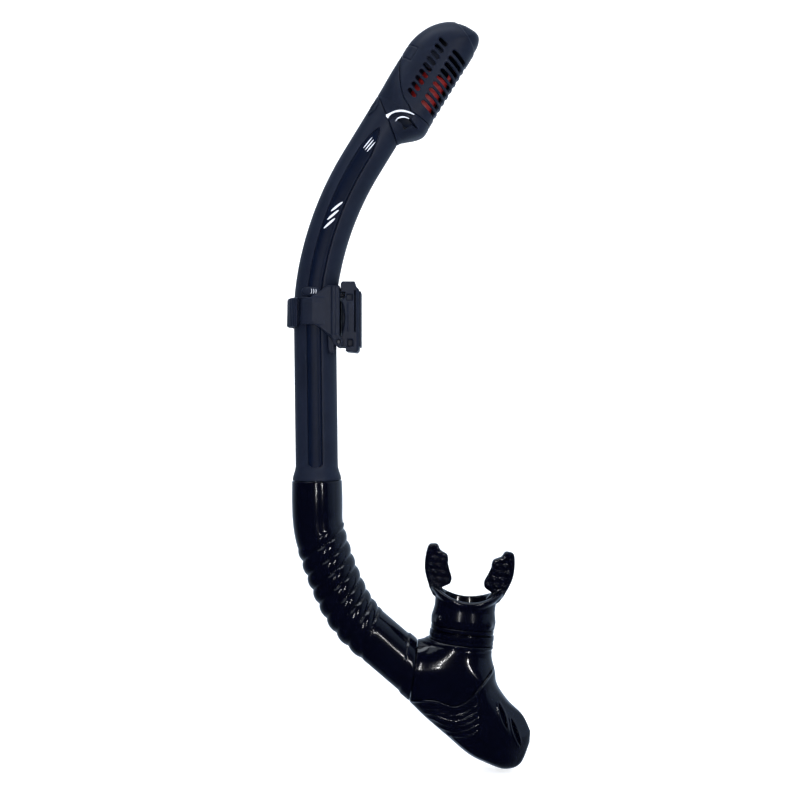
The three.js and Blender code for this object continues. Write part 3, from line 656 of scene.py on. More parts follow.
def keeper_field(x, y, z):
    """The ring round the barrel, with its ribbed lug, its wedge bracket, two legs and the hinge arms."""
    side, along = axes(x, z, BAND_X, BAND_Z, BAND_TURN)
    around = hypot(side, y)
    ring = plate(around - 15.2, along + 1.3, 8.0, 0.5)
    for height in (-8.2, 5.6, 4.6):
        ring = ring + 0.22 * hump(along - height, 0.3)
    lug = plate(around - 16.6, along + 2.2, 8.6, 1.1)
    lug = soft_max(lug, side + 9.3, 0.9)
    ribs = 0.14 * np.cos(side * 2 * math.pi / 1.15)
    depth = 15.1 - 1.2 * ease((x + 3) / 10) + 1.0 * ease((x - 9.3) / 0.5) - 0.5 * ease((x - 11.6) / 0.6)
    body = soft_max(outline(x, z, WEDGE), abs(y) - depth, 0.7)
    legs = soft_max(outline(x, z, LEG), abs(abs(y) - 10.5) - 1.5, 0.5)
    from_pin = hypot(x - PIN_X, z - PIN_Z)
    arm = minimum(from_pin - 2.8, outline(x, z, ARM))
    arm = soft_max(arm, abs(abs(y) - 13.6) - 1.35, 0.45)
    solid = soft_min(soft_min(ring, lug + ribs * (side < -9), 0.5), soft_min(body, arm, 0.8), 0.8)
    trench = maximum(maximum(abs(side + 8.4) - 0.95, abs(along + 2) - 8.0), 13.7 - around)
    solid = soft_max(minimum(solid, legs), -trench, 0.3)
    solid = soft_max(solid, minimum(x - RIM_X, z - 85.6), 0.3)
    solid = soft_max(solid, -brick(x, y, z, (15, 0, 96.5), (1, 5.6, 7), 0.3), 0.2)
    bore = around - 13.2 - 0.8 * ease(-along - 8) - 0.8 * ease(-along - 17)
    bore = bore - 1.2 * ease((along - 6.4) / 0.8)
    room = brick(x, y, z, (16, 0, 80.8), (4, GATE_HALF + 0.3, 4.8), 0.3)
    rim = hypot(from_pin - 2.0, abs(y) - 15.0) - 0.3
    hook = brick(x, y, z, (15.2, 0, 110.2), (1.6, 8, 1.0), 0.3)
    cuts = minimum(room, from_pin - 1.35)
    solid = soft_max(soft_max(soft_max(solid, -bore, 0.3), -cuts, 0.3), -rim, 0.2)
    return minimum(solid, hook)


keeper = sculpted(keeper_field, (-19.5, -18, 73.5), (17.5, 18, 117.5))
add("keeper_band", "keeper", keeper, DRAWING, SATIN)

GATE_OUTLINE = [(13.4, 85.1), (14.9, 85.9), (16.5, 90), (17.4, 96.6), (16.5, 103), (14.9, 107.4)]
GATE_OUTLINE += [(17.2, 108.6), (17.2, 111.8), (14.7, 111.8), (14.7, 117), (15.8, 118.2), (23.0, 118.2)]
GATE_OUTLINE += [(23.6, 115.6), (25.5, 113.6), (25.5, 77.6), (24.2, 76.2)]
GATE_OUTLINE += [(17.5, 76.9), (18, 79.4), (13.6, 79.5)]


def gate_field(x, y, z):
    """The gate: its frame, a long slot and two hollows in each side, two rows of teeth, and a rib outside."""
    body = plate(outline(x, z, GATE_OUTLINE), y, GATE_HALF, 0.55)
    body = soft_max(body, 0.707 * (x + abs(y) - 36.1), 0.3)
    low, high = (19.2, GATE_HALF - 0.1, 89), (19.2, GATE_HALF - 0.1, 105)
    body = soft_min(body, bar(x, abs(y), z, low, high, 0.45), 0.2)
    slot = brick(x, abs(y), z, (23.2, GATE_HALF, 100.5), (0.42, 3.2, 12.4), 0.3)
    hollow = brick(x, abs(y), z, (20.4, GATE_HALF, 81.8), (1.7, 2.2, 2.2), 0.5)
    pocket = brick(x, abs(y), z, (19.9, GATE_HALF, 108.7), (1.9, 1.6, 1.9), 0.5)
    slot = minimum(minimum(slot, hollow), pocket)
    back = y > 0
    teeth = outline(x + 0.77 * back, z, [(15.1, 88), (20, 87), (20, 108.4), (15.1, 108.2)])
    teeth = teeth + 0.5 * np.where(back, 0, abs(((z - 88) / 2.6) % 1 - 0.5) * 2)
    teeth = soft_max(teeth, abs(abs(y) - 7.4) - 1.4, 0.4)
    pad = soft_min(body, teeth, 0.4)
    room = brick(x, y, z, (8.7, 0, 78.2), (8.7, 6.7, 8.3), 0.3)
    hole = hypot(x - PIN_X, z - PIN_Z) - 1.3
    rib = brick(x, y, z, (26.2, 0, 96), (0.5, 9.5, 16.5), 0.3)
    return soft_max(soft_min(soft_max(pad, -slot, 0.3), rib, 0.3), -minimum(room, hole), 0.3)


gate = sculpted(gate_field, (10, -13, 75), (27, 13, 119.5))
add("strap_gate", "gate", gate, DRAWING, SATIN)


def turned_pin(radius, half, x, z, chamfer=0.25):
    """A plain pin along Y with chamfered ends."""
    angles = full_turn(32)
    inset = half - chamfer
    rings = []
    for y, size in ((half, radius - chamfer), (inset, radius), (-inset, radius), (-half, radius - chamfer)):
        rings.append(np.stack([x + size * np.cos(angles), np.full(32, y), z + size * np.sin(angles)], axis=1))
    return lofted(rings)


add("gate_pin", "keeper", turned_pin(1.2, 13.4, PIN_X, PIN_Z), DRAWING, STEEL, 30)


# --- flex tube
def flex_skew(along, end):
    """How far the tube's sections lean, so that its lower end is cut nearly upright."""
    return SEAM_SKEW * float(ease((along - 92) / (end - 92)))


def flex_tube():
    """A cuff, slanted ridges wound round the tube three at a time, and a lower cuff cut nearly upright."""
    sides = 112
    angles = full_turn(sides)
    end = flex_route.length - 0.15
    stations = [0.3, 0.45, 0.9, 1.8] + list(np.arange(3, end - 0.9, 0.7)) + [end - 0.5, end - 0.15, end]
    rings = []
    for along in stations:
        lean = along - RIDGE_LEAN * np.sin(angles)
        turns = (along + 3.6) / RIDGE_PITCH - RIDGE_STARTS * angles / (2 * math.pi)
        lobe = abs(np.sin(math.pi * turns)) ** 0.5
        ridged = RIDGE_ROOT + (RIDGE_TOP - RIDGE_ROOT) * lobe
        cuff = CUFF + 0.25 * math.sin(math.pi * min(along / 24, 1)) - 0.45 * max(1 - along / 1.2, 0) ** 2
        lower = LOWER_CUFF + (LIP - LOWER_CUFF) * float(ease((along - end + 7.5) / 0.9))
        lower -= 0.4 * max(1 - (end - along) / 0.6, 0)
        begun, over = ease((lean - RIDGES_FROM) / 2.5), ease((lean - RIDGES_TO) / 6)
        radii = cuff * (1 - begun) + ridged * begun * (1 - over) + lower * over
        radii = np.where(begun > 0.5, ridged * (1 - over) + lower * over, radii)
        rings.append(ring_on(flex_route, along, angles, radii, flex_skew(along, end)))
    bore = np.full(sides, FLEX_BORE)
    for along in [end] + stations[-1:3:-3] + [0.3]:
        rings.append(ring_on(flex_route, along, angles, bore, flex_skew(along, end)))
    return lofted(rings, loop=True)


flex = creased(made("flex_tube_skin", flex_tube(), DRAWING, RUBBER), 75)
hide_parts("flex_tube")
bend_start = DRAWING @ Vector(flex_route.spot(24))
bend_end = DRAWING @ Vector(flex_route.spot(99))
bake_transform(flex)


# --- dry top, in its own frame
def spine_edge(u):
    share = np.clip((u - SPINE_BENDS) / (TOP_HEIGHT - SPINE_BENDS), 0, 1)
    return CROWN_AT * (1 - np.sqrt(1 - share**2))


def front_edge(u):
    low = 2 * BARREL + (TOP_WIDTH - 2 * BARREL) * ease((u + 10) / 16)
    share = np.clip((u - FRONT_BENDS) / (TOP_HEIGHT - FRONT_BENDS), 0, 1)
    crown = CROWN_AT + (TOP_WIDTH - CROWN_AT) * (1 - share**3.5) ** (1 / 3.5)
    return np.where(u < FRONT_BENDS, low, crown)


def top_outline():
    crown = 40 + (TOP_HEIGHT - 40) * np.sin(np.linspace(0.03, math.pi / 2, 36))
    heights = np.concatenate([np.linspace(-40, 40, 40), crown])
    left = [(float(spine_edge(u)), float(u)) for u in heights]
    right = [(float(front_edge(u)), float(u)) for u in heights[:-1]]
    return left + right[::-1]


TOP_OUTLINE = top_outline()


def above_joint(v, u):
    """Distance above the slanted joint between the barrel and the dry top."""
    return (u - JOINT_LIFT - JOINT_SKEW * (v - BARREL)) / math.hypot(1, JOINT_SKEW)


def top_solid(v, y, u):
    """The whole outside of the dry top: round at the joint, squarer above, and domed at the crown."""
    flat = outline(v, u, TOP_OUTLINE)
    left, right = spine_edge(u), front_edge(u)
    across = abs(v - (left + right) / 2) / maximum((right - left) / 2, 4)
    domed = maximum(1 + flat / (TOP_WIDTH / 2), 0)
    high = ease((u - 38) / 16)
    growth = ease(above_joint(v, u) / 13)
    power = 2 + 0.7 * growth
    depth = BARREL + (TOP_DEPTH - BARREL) * growth
    shape = squarish(across * (1 - high) + domed * high, y / depth, power) - 1
    return evened(shape, STEP)


COVER_EDGE = [(60, 10.3), (25.5, 10.3), (23.8, 10.2), (20.5, 12.4), (15.8, 14.8)]
COVER_EDGE += [(10.2, 20.3), (3.4, 30.3), (0.4, 38), (-6, 39)]
COVER_AREA = curve(COVER_EDGE) + [(-6, 90), (60, 90)]


def guard_slots(v, u):
    """Nine rows of slots in two columns; the outer ones run on round the front edge."""
    found = 1e9
    for row in range(9):
        middle = 20.45 + 4.35 * row
        for start, end, drop, fall in ((16.3, 20.3, 0, 1.3), (26.8, 42, 1.8, 5.2)):
            slot = bar(v, 0.0, u, (start, 0.0, middle - drop), (end, 0.0, middle - fall), 1.2)
            found = minimum(found, slot)
    return found


def snap_groove(v, u):
    """The groove round the cover's snap tab, on the spine side."""
    away = abs(maximum(abs(v - 1) - 6.6, abs(u - 40) - 4.3))
    return 0.5 * hump(away, 0.35)


def cover_field(v, y, u):
    """The slotted cover. Its slots go through the front wall, and are grooves on the back."""
    outside = top_solid(v, y, u)
    facet = (v * 0.46 + u - 78.6) / 1.1
    outside = outside + 0.55 * ease(facet / 0.5) + 0.12 * hump(facet, 0.25)
    outside = outside + snap_groove(v, u)
    shell = soft_max(outside, -(outside + TOP_WALL), 0.4)
    region = outline(v, u, COVER_AREA)
    cover = soft_max(shell, region + 0.1, 0.45)
    slots = guard_slots(v, u)
    through = maximum(slots, y + 5)
    grooves = maximum(slots, -outside - 0.5)
    return soft_max(cover, -minimum(through, grooves), 0.4)


DRAIN = [(18.6, 1.6), (20.6, 4.6), (24.2, 6.2), (27.2, 5.6)]
DRAIN += [(31.8, 3.6), (27.8, 3.3), (25.4, -0.6), (22.4, 1.4)]
DRAIN = curve(DRAIN + DRAIN[:1], 3)[:-1]
TROUGH = curve([(15.2, 1.6), (17.4, 4.6), (21, 6.6), (25, 7.4)])
OUTER_ARCH = curve([(12.6, 0.2), (13.4, 2.6), (15.6, 5.4), (18.9, 7.6), (22.9, 8.9), (26.2, 9.4)])
INNER_ARCH = curve([(18.7, 0.6), (18.8, 2.4), (20.1, 4.1), (22.2, 5.3), (24.8, 5.8)])


def top_face(v, u, height):
    """A point on the front of the dry top, or as high above it."""
    left, right = float(spine_edge(u)), float(front_edge(u))
    growth = float(ease(above_joint(v, u) / 13))
    power = 2 + 0.7 * growth
    across = abs(v - (left + right) / 2) / ((right - left) / 2)
    depth = BARREL + (TOP_DEPTH - BARREL) * growth
    return v, -depth * (1 - min(across, 1) ** power) ** (1 / power) - height, u


def base_field(v, y, u):
    """The base: spine wall, floor, conduit tower, web, hinge ears, drain and the spigot inside the barrel."""
    body = top_solid(v, y, u)
    arch = outward(v, u, OUTER_ARCH)
    ripple = hump(arch - 2.6, 1.6) * ease((u - 5) / 3) * ease((y * y - 60) / 30)
    body = body + 0.12 * ripple * np.cos(arch * 2 * math.pi / 1.2)
    body = body + snap_groove(v, u)
    region = -outline(v, u, COVER_AREA)
    shell = soft_max(body, -(body + TOP_WALL + 0.3), 0.4)
    floor = maximum(body, abs(u - 2) - 7)
    base = soft_min(shell, floor, 0.8)
    base = soft_max(base, region + 0.1, 0.45)
    lip = maximum(maximum(body + TOP_WALL + 0.15, -(body + TOP_WALL + 1.2)), abs(region) - 2.2)
    base = soft_min(base, lip, 0.3)
    tower = squarish((v - 9.2) / 6.6, y / 10.5, 4)
    tower = maximum((tower - 1) * 6.6, u - 45)
    tower = maximum(tower, body + TOP_WALL + 0.4)
    web = maximum(brick(v, y, u, (2.3, 0, 20), (2.0, 8, 16), 0.4), body + 0.5)
    ears = brick(v, abs(y), u, (17.7, 10.9, 42.5), (6.2, 1.05, 8.5), 0.5)
    ears = maximum(ears, hypot(v - 19.3, u - 46) - 8)
    base = soft_min(base, minimum(minimum(tower, web), ears), 0.6)
    trough = maximum(outward(v, u, TROUGH) - 1.0, -body - 0.8)
    hollow = maximum(outline(v, u, DRAIN), maximum(-body - 4.5, 8.6 - abs(y)))
    base = soft_max(base, -minimum(trough, hollow), 0.6)
    base = soft_max(base, 0.15 - above_joint(v, u), 0.45)
    axis = hypot(v - BARREL, y)
    spigot = maximum(axis - 9.9, abs(u + 6.5) - 13.5)
    spigot = soft_max(spigot, -maximum(8.95 - axis, abs(u + 14) - 1.6), 0.2)
    base = minimum(base, spigot)
    lean = ease(u / 14)
    middle = BARREL + (9.2 - BARREL) * lean
    conduit = squarish((v - middle) / (8.3 - 4.1 * lean), y / (8.3 + 0.1 * lean), 2 + 0.4 * lean)
    pin = hypot(v - 21, u - 48.4) - 1.15
    return soft_max(base, -minimum((conduit - 1) * 4.2, pin), 0.4)


cover = sculpted(cover_field, (-1.5, -17, 8), (38, 17, 75))
add("guard_cover", "barrel", cover, TOP, SATIN)
outer_halves = []
for k in range(len(OUTER_ARCH)):
    outer_halves.append(0.2 + 1.1 * math.exp(-((k / 5) ** 2)) + 0.4 * math.sin(math.pi * k / 31))
inner_halves = [0.12 + 0.28 * math.sin(math.pi * k / 25) for k in range(len(INNER_ARCH))]
# The two arch lips are raised ribbons painted pale as a highlight.
arches = [ribbon(top_face, OUTER_ARCH, outer_halves, 0.45), ribbon(top_face, INNER_ARCH, inner_halves, 0.4)]
base = sculpted(base_field, (-1.5, -17.5, -21), (38, 17.5, 52.5))
base_shape = merged(base, *arches)
add("top_base", "barrel", base_shape, TOP, SATIN, None, HIGHLIGHT_PAINT, len(base[1]))


def turned_ring(profile, x=0.0, sides=72):
    """A ring about an upright axis through x, from a closed profile of radius and height."""
    angles = full_turn(sides)
    rings = []
    for r, z in profile:
        rings.append(np.stack([x + r * np.cos(angles), r * np.sin(angles), np.full(sides, z)], axis=1))
    return lofted(rings, loop=True)


gasket = [(9.1, -15.3), (9.6, -15.3), (9.95, -14.7), (10.05, -14), (9.95, -13.3), (9.6, -12.7), (9.1, -12.7)]
add("top_gasket", "barrel", turned_ring(gasket, BARREL), TOP, SEAL)


def float_field(v, y, u):
    """The float: a squarish block with grooves round it, a guide rib on each side and a nub for the lever."""
    side = (squarish((v - 24.3) / 8.2, y / 9.1, 3) - 1) * 8.2
    for height in (17, 21.5, 29, 33.5):
        side = side + 0.35 * hump(u - height, 0.6)
    body = soft_max(side, abs(u - 25.25) - 12.7, 2.0)
    rib = brick(v, abs(y), u, (24.3, 9.0, 25.2), (0.6, 0.35, 9), 0.2)
    nub = brick(v, y, u, (31.2, 0, 40.3), (1.2, 2, 4.2), 0.4)
    return minimum(soft_min(body, rib, 0.4), nub)


float_shape = sculpted(float_field, (15, -10.5, 12), (33.5, 10.5, 45.5), STEP * 1.1)
add("float", "float", float_shape, TOP, RED)

LEVER_V, LEVER_U = 21, 48.4
OPEN_ANGLE = 23.6 * DEG  # how far the lever leans from shut, in the pose that the part is built in
OPEN = TOP @ Matrix.Translation((LEVER_V, 0, LEVER_U)) @ Matrix.Rotation(OPEN_ANGLE, 4, "Y")


def lever_field(x, y, z):
    """The lever about its pin, shut: a level arm over the conduit and a cranked arm towards the float."""
    arm = brick(x, y, z, (-7.9, 0, 0), (7.9, 7, 0.8), 0.3)
    arm = soft_min(arm, brick(x, abs(y), z, (-7.5, 5.5, 1.0), (6.5, 0.5, 0.9), 0.3), 0.4)
    tilt = 11.8 * DEG
    along, over = x * math.cos(tilt) + z * math.sin(tilt), z * math.cos(tilt) - x * math.sin(tilt)
    crank = brick(along, y, over, (6.3, 0, 0), (6.3, 4, 0.8), 0.3)
    hub = plate(hypot(x, z) - 2.2, y, 9.3, 0.3)
    return soft_max(soft_min(soft_min(arm, crank, 0.6), hub, 0.6), -(hypot(x, z) - 1.15), 0.2)


lever = sculpted(lever_field, (-17, -10, -3.5), (14, 10, 5), STEP * 0.9)
add("flap_lever", "flap", lever, OPEN, GLOSS)


def seal_field(x, y, z):
    round_pad = (squarish((x + 11.8) / 4.9, y / 9.1, 2.4) - 1) * 4.9
    pad = soft_max(round_pad, abs(z + 2.05) - 0.95, 0.5)
    return pad + 0.2 * hump(round_pad + 1.6, 0.4)


seal = sculpted(seal_field, (-17.5, -10, -3.5), (-6, 10, -0.6), STEP * 0.7)
add("flap_seal", "flap", seal, OPEN, SEAL)
flap_pin = turned_pin(0.9, 11.7, LEVER_V, LEVER_U, 0.2)
add("flap_pin", "barrel", flap_pin, TOP, STEEL, 30)

# --- lower chamber and its boot
UPPER_EDGE = [(40, -88), (60.3, -96.2), (72, -99), (88, -106), (103, -112)]
UPPER_EDGE += [(107, -121), (114.5, -132), (123.5, -141), (128, -150.5)]
LOWER_EDGE = [(30, -108), (55.2, -132.3), (64.8, -141.6), (77.5, -152.5), (90, -163.2)]
LOWER_EDGE += [(101, -169), (112.5, -173), (122, -169.8), (127.6, -157)]
LOWER_EDGE = curve(LOWER_EDGE)
CHAMBER_OUTLINE = curve(UPPER_EDGE) + LOWER_EDGE[::-1]
BOOT_LINE = [(40, -131), (58, -129.6), (64.7, -128.4), (72, -128.8), (81.6, -132)]
BOOT_LINE += [(89.4, -128.4), (96.5, -120.6), (104, -112.6), (112, -104)]
BOOT_AREA = curve(BOOT_LINE) + [(150, -104), (150, -190), (40, -190)]
NECK_FOOT = 36  # how far down the neck reaches into the chamber, in the mouthpiece's frame
NECK_TOP = -6.2
VENTS = (((108.2, -131.5), (113.2, -146.5)), ((115.6, -141), (121.4, -157.5)))


def chamber_solid(x, y, z):
    """The outside of the chamber and its boot, before the neck is added."""
    flat = outline(x, z, CHAMBER_OUTLINE)
    share = ((x - 57.75) * 0.871 - (z + 114.2) * 0.491) / 80.4
    depth = np.interp(share, np.linspace(0, 1, 8), [15, 15.6, 16, 16, 15.6, 14.6, 12.4, 8]).astype(np.float32)
    shape = squarish(maximum(1 + flat / 18.5, 0), y / depth, 2.3) - 1
    body = evened(shape, STEP * 1.1)
    facet = (x - 108) * 0.62 + (z + 137) * 0.30 + (abs(y) - 13.2) * 0.72
    return soft_max(body, facet, 1.2)


def neck_solid(x, y, z):
    """The oval neck under the mouthpiece, with distances across and up it."""
    across, up = axes(x, z, MOUTH_X, MOUTH_Z, MOUTH_TILT)
    wide = np.interp(up, [-36, -24, -14, -6], [15.5, 18.4, 19, 19.2])
    deep = np.interp(up, [-36, -24, -14, -6], [14, 15.2, 14.4, 13.8])
    tube = (squarish(across / wide, y / deep, MOUTH_POWER) - 1) * 14
    rings = 0.3 * hump(up + 8.6, 0.45) - 0.35 * hump(up + 7.2, 0.6)
    return soft_max(tube + rings, up - NECK_TOP, 0.5), across, up


def with_neck(body, neck, up, y):
    """The chamber and its neck in one, no deeper than the limit."""
    return soft_max(soft_min(body, maximum(neck, -NECK_FOOT - up), 9), abs(y) - CHAMBER_LIMIT, 2)


def past_seam(x, z):
    """How far a point lies past the seam between the chamber and the flex tube, on the tube's side."""
    return 0.990 * (60.3 - x) + 0.140 * (z + 96.2)


def housing_field(x, y, z):
    """The chamber with its neck, the spigots for mouthpiece and flex tube, and the purge port."""
    body = chamber_solid(x, y, z)
    neck, across, up = neck_solid(x, y, z)
    line = outline(x, z, BOOT_AREA)
    shell = soft_max(with_neck(body, neck, up, y), 0.1 - line, 0.4)
    shell = minimum(shell, maximum(body + 2.7, -((PURGE_X - x) * PURGE_OUT - (z - PURGE_Z) * PURGE_DOWN)))
    shell = soft_max(shell, past_seam(x, z) + 0.15, 0.45)
    spigot = (squarish(across / 16.2, y / 10.9, MOUTH_POWER) - 1) * 11
    shell = minimum(shell, maximum(spigot, abs(up + 2) - 10.4))
    side, along = axes(x, z, *flex_route.at(flex_route.length))
    inlet = hypot(side, y)
    shell = minimum(shell, maximum(inlet - 11.6, abs(along + 10) - 16))
    outwards = (x - PURGE_X) * PURGE_OUT - (z - PURGE_Z) * PURGE_DOWN
    hollow = maximum(body + 4.6, outwards + 2)
    bore = maximum((squarish(across / 14.4, y / 9.1, MOUTH_POWER) - 1) * 9, -38 - up)
    pipe = maximum(inlet - 10, abs(along) - 32)
    port = hypot(y, (x - PURGE_X) * PURGE_DOWN + (z - PURGE_Z) * PURGE_OUT) - 9.2
    port = maximum(port, abs(outwards) - 6)
    return soft_max(shell, -minimum(minimum(hollow, bore), minimum(pipe, port)), 0.4)


def boot_field(x, y, z):
    """The boot: a bead along its edge, a patch of ridges, a rim below and two blind vents."""
    neck, _, up = neck_solid(x, y, z)
    body = with_neck(chamber_solid(x, y, z), neck, up, y)
    line = outline(x, z, BOOT_AREA)
    front = ease((abs(y) - 6) / 4)
    bead = 0.8 * hump(line + 0.8, 0.65)
    window = ease((x - 62) / 6) * (1 - ease((x - 93) / 6))
    window = window * ease((-line - 4.5) / 1.5) * (1 - ease((-line - 19) / 3))
    ridges = 0.6 * window * maximum(np.cos((line + 5.8) * 2 * math.pi / 3.3), 0) ** 3
    below = outward(x, z, LOWER_EDGE)
    rim = 0.35 * hump(below - 2.4, 0.6) * ease((x - 74) / 8)
    outside = body - (bead + ridges + rim) * front
    shell = soft_max(soft_max(outside, -(body + 2.4), 0.4), line + 0.06, 0.25)
    vent = 1e9
    for start, end in VENTS:
        run, rise = end[0] - start[0], end[1] - start[1]
        size = math.hypot(run, rise)
        middle = (start[0] + run / 2, start[1] + rise / 2)
        side, along = axes(x, z, *middle, math.atan2(run, rise))
        lens = abs(side) - 1.1 * maximum(1 - (2 * along / size) ** 2, 0)
        lens = maximum(lens, abs(along) - size / 2)
        shell = shell - 0.45 * hump(lens - 0.6, 0.6) * front * (shell > -1.2)
        vent = minimum(vent, lens)
    shell = soft_max(shell, past_seam(x, z) + 0.15, 0.45)
    return soft_max(shell, -maximum(vent, -body - 1.5), 0.35)


housing = sculpted(housing_field, (44, -17.5, -158), (112, 17.5, -81), STEP * 1.1)
add("chamber_housing", "lower", housing, DRAWING, GLOSS)
boot = sculpted(boot_field, (52, -17.5, -175), (130.5, 17.5, -101), STEP * 1.1)
add("purge_cover", "lower", boot, DRAWING, RUBBER)


def seat_field(x, y, z):
    """The valve seat: a rim, a hub and six spokes."""
    around = hypot(x, y)
    rim = plate(abs(around - 9.7) - 1.5, z - 1.8, 0.9, 0.3)
    hub = plate(around - 2.2, z - 1.8, 0.9, 0.3)
    spokes = 1e9
    for turn in (0, 60, 120):
        across = y * math.cos(turn * DEG) - x * math.sin(turn * DEG)
        spoke = brick(0.0, across, z, (0, 0, 1.8), (1, 0.8, 0.9), 0.3)
        spokes = minimum(spokes, maximum(spoke, around - 8.6))
    return soft_min(soft_min(rim, hub, 0.4), spokes, 0.5)


valve_seat = sculpted(seat_field, (-12, -12, 0.3), (12, 12, 3.3), STEP * 0.8)
add("purge_valve_seat", "lower", valve_seat, PURGE, GLOSS)


def diaphragm_field(x, y, z):
    around = hypot(x, y)
    disc = plate(around - 10.3, z - 3.4, 0.4, 0.25)
    stud = plate(around - 1.6, z - 3.7, 0.5, 0.3)
    return soft_min(disc + 0.15 * hump(around - 7.5, 0.5), stud, 0.5)


diaphragm = sculpted(diaphragm_field, (-11, -11, 2.6), (11, 11, 4.5), STEP * 0.7)
add("purge_diaphragm", "diaphragm", diaphragm, PURGE, SEAL)
purge_gasket = [(9.65, 0.25), (11.1, 0.25), (11.2, 0.35), (11.2, 0.55), (11.1, 0.65), (9.65, 0.65)]
add("purge_gasket", "lower", turned_ring(purge_gasket), PURGE, SEAL)


# --- mouthpiece, in its own frame
TAB = [(11, 20), (18.6, 20), (21.2, 23.4), (23.8, 28.5), (25.8, 34), (26.5, 39), (26.3, 45), (25.3, 49.4)]
TAB += [(23, 50.4), (20.6, 50.2), (18.7, 47.2), (15.6, 45.6), (14.0, 44.3), (13.0, 40), (11.4, 35.6)]
TAB += [(9.8, 31.5), (10.4, 28.2), (12.6, 26.6), (15.0, 25.2)]
TAB = curve(TAB, 4)


def mouth_section(z):
    """Half the width and half the depth of the mouthpiece at a height."""
    heights = [0, 3.1, 3.7, 8, 14, 19, 23, 25.5]
    wide = np.interp(z, heights, [17.6, 17.6, 19.1, 19.4, 18.2, 18.3, 19.2, 20.2])
    deep = np.interp(z, heights, [12.3, 12.3, 13.7, 14, 13.2, 14, 15.2, 16])
    return wide, deep


def mouthpiece_field(x, y, z):
    """The oval tube with its saddle rim, and two bite tabs with a border and rows of nubs."""
    wide, deep = mouth_section(z)
    outer = (squarish(x / wide, y / deep, MOUTH_POWER) - 1) * 15
    thick = 2.4 - 0.3 * ease((z - 3) / 6)
    inner = (squarish(x / (wide - thick), y / (deep - thick), MOUTH_POWER) - 1) * 13
    rim_height = 17.6 + 7.2 * minimum((x / 20) ** 2, 1)
    tube = soft_max(soft_max(outer, -inner, 0.5), z - rim_height, 0.8)
    tube = soft_max(tube, 0.4 - z, 0.4)
    middle = (squarish(x / (wide - 1.3), y / (deep - 1.3), MOUTH_POWER) - 1) * 14
    bead = hypot(middle, z - rim_height + 0.4) - 2.5
    tube = soft_min(tube, bead, 0.8)
    lugs = ball(abs(x), y, z, (14.6, -2, 7.2), (3.4, 9, 4.2))
    tube = soft_min(tube, maximum(lugs, -inner), 0.6)
    side = abs(x)
    tab_flat = outline(side, z, TAB)
    thin = plate(tab_flat, y, 1.5, 0.7)
    border = hypot(tab_flat + 1.1, maximum(abs(y) - 1.5, 0)) - 1.5
    border = maximum(border, 17 - side - 0.25 * (z - 26))
    nubs = 1e9
    for row in range(5):
        height = 29.6 + 4.1 * row
        for column in range(3):
            centre = 12.6 + 0.55 * row + 4.6 * column + 2.3 * (row % 2)
            nubs = minimum(nubs, ball(side, abs(y), z, (centre, 1.5, height), (1.35, 1.9, 1.35)))
    nubs = maximum(nubs, tab_flat + 1.6)
    tab = soft_min(soft_min(thin, border, 0.6), nubs, 0.4)
    tab = maximum(tab, 20 - z)
    return soft_max(soft_min(tube, tab, 1.6), -maximum(inner, z - 21), 0.5)


mouthpiece = sculpted(mouthpiece_field, (-28.5, -17.5, -0.3), (28.5, 17.5, 52.5))
add("mouthpiece", "lower", mouthpiece, MOUTH, RUBBER)


def oval_band(width, depth, profile, sides=120):
    """An oval ring from a closed profile of growth outwards and height."""
    angles = full_turn(sides)
    share = 2 / MOUTH_POWER
    across = np.sign(np.cos(angles)) * abs(np.cos(angles)) ** share
    back = np.sign(np.sin(angles)) * abs(np.sin(angles)) ** share
    rings = []
    for growth, z in profile:
        ring = [(width + growth) * across, (depth + growth) * back, np.full(sides, z)]
        rings.append(np.stack(ring, axis=1))
    return lofted(rings, loop=True)


tie = [(-1, 0.8), (-0.2, 0.8), (0, 1.0), (0, 1.7), (-0.12, 1.8), (0, 1.9), (0, 2.6), (-0.2, 2.8), (-1, 2.8)]
add("mouthpiece_tie", "lower", oval_band(18.9, 13.6, tie), MOUTH, RUBBER, 40)
collar = [(-2.8, -5.9), (-0.35, -5.9), (0, -5.6), (0, -4.4), (-0.35, -4.1), (-0.35, -3.6), (0, -3.3)]
collar += [(0.05, -1.4), (-0.3, -1.1), (-0.3, -0.8), (0, -0.6), (-0.1, -0.25), (-0.4, -0.1), (-2.8, -0.1)]
add("mouth_retaining_ring", "lower", oval_band(19.4, 14, collar), MOUTH, GLOSS, 40)


# --- stage, light and camera
FLOOR = -0.2735
CAMERA_AT = (0.0358, -0.75, -0.051)


def backdrop():
    """A pale round floor that curves up into a wall. Glossy surfaces reflect the sky in its place."""
    look = bpy.data.materials.new("backdrop_paper")
    look.use_nodes = True
    nodes, links = look.node_tree.nodes, look.node_tree.links
    shader = nodes["Principled BSDF"]
    fibre = nodes.new("ShaderNodeTexNoise")
    preset(fibre, Scale=40)
    shade = nodes.new("ShaderNodeMapRange")
    preset(shade, To_Min=0.86, To_Max=0.9)
    links.new(fibre.outputs["Fac"], shade.inputs["Value"])
    links.new(shade.outputs["Result"], shader.inputs["Base Color"])
    preset(shader, Roughness=0.9, Emission_Color=(1, 1, 1, 1), Emission_Strength=0.4)
    radius = 0.7
    profile = [(0.3, FLOOR), (0.6, FLOOR)]
    for k in range(19):
        angle = math.pi / 2 * k / 18
        profile.append((1.1 + radius * math.sin(angle), FLOOR + radius * (1 - math.cos(angle))))
    profile.append((1.1 + radius, FLOOR + 2.6))
    turns = full_turn(96)
    rings = [np.stack([r * np.cos(turns), r * np.sin(turns), np.full(96, z)], axis=1) for r, z in profile]
    points, faces = lofted(rings)
    sheet = made("backdrop", (points, faces[:-1]), Matrix.Identity(4), look)
    sheet.visible_glossy = False


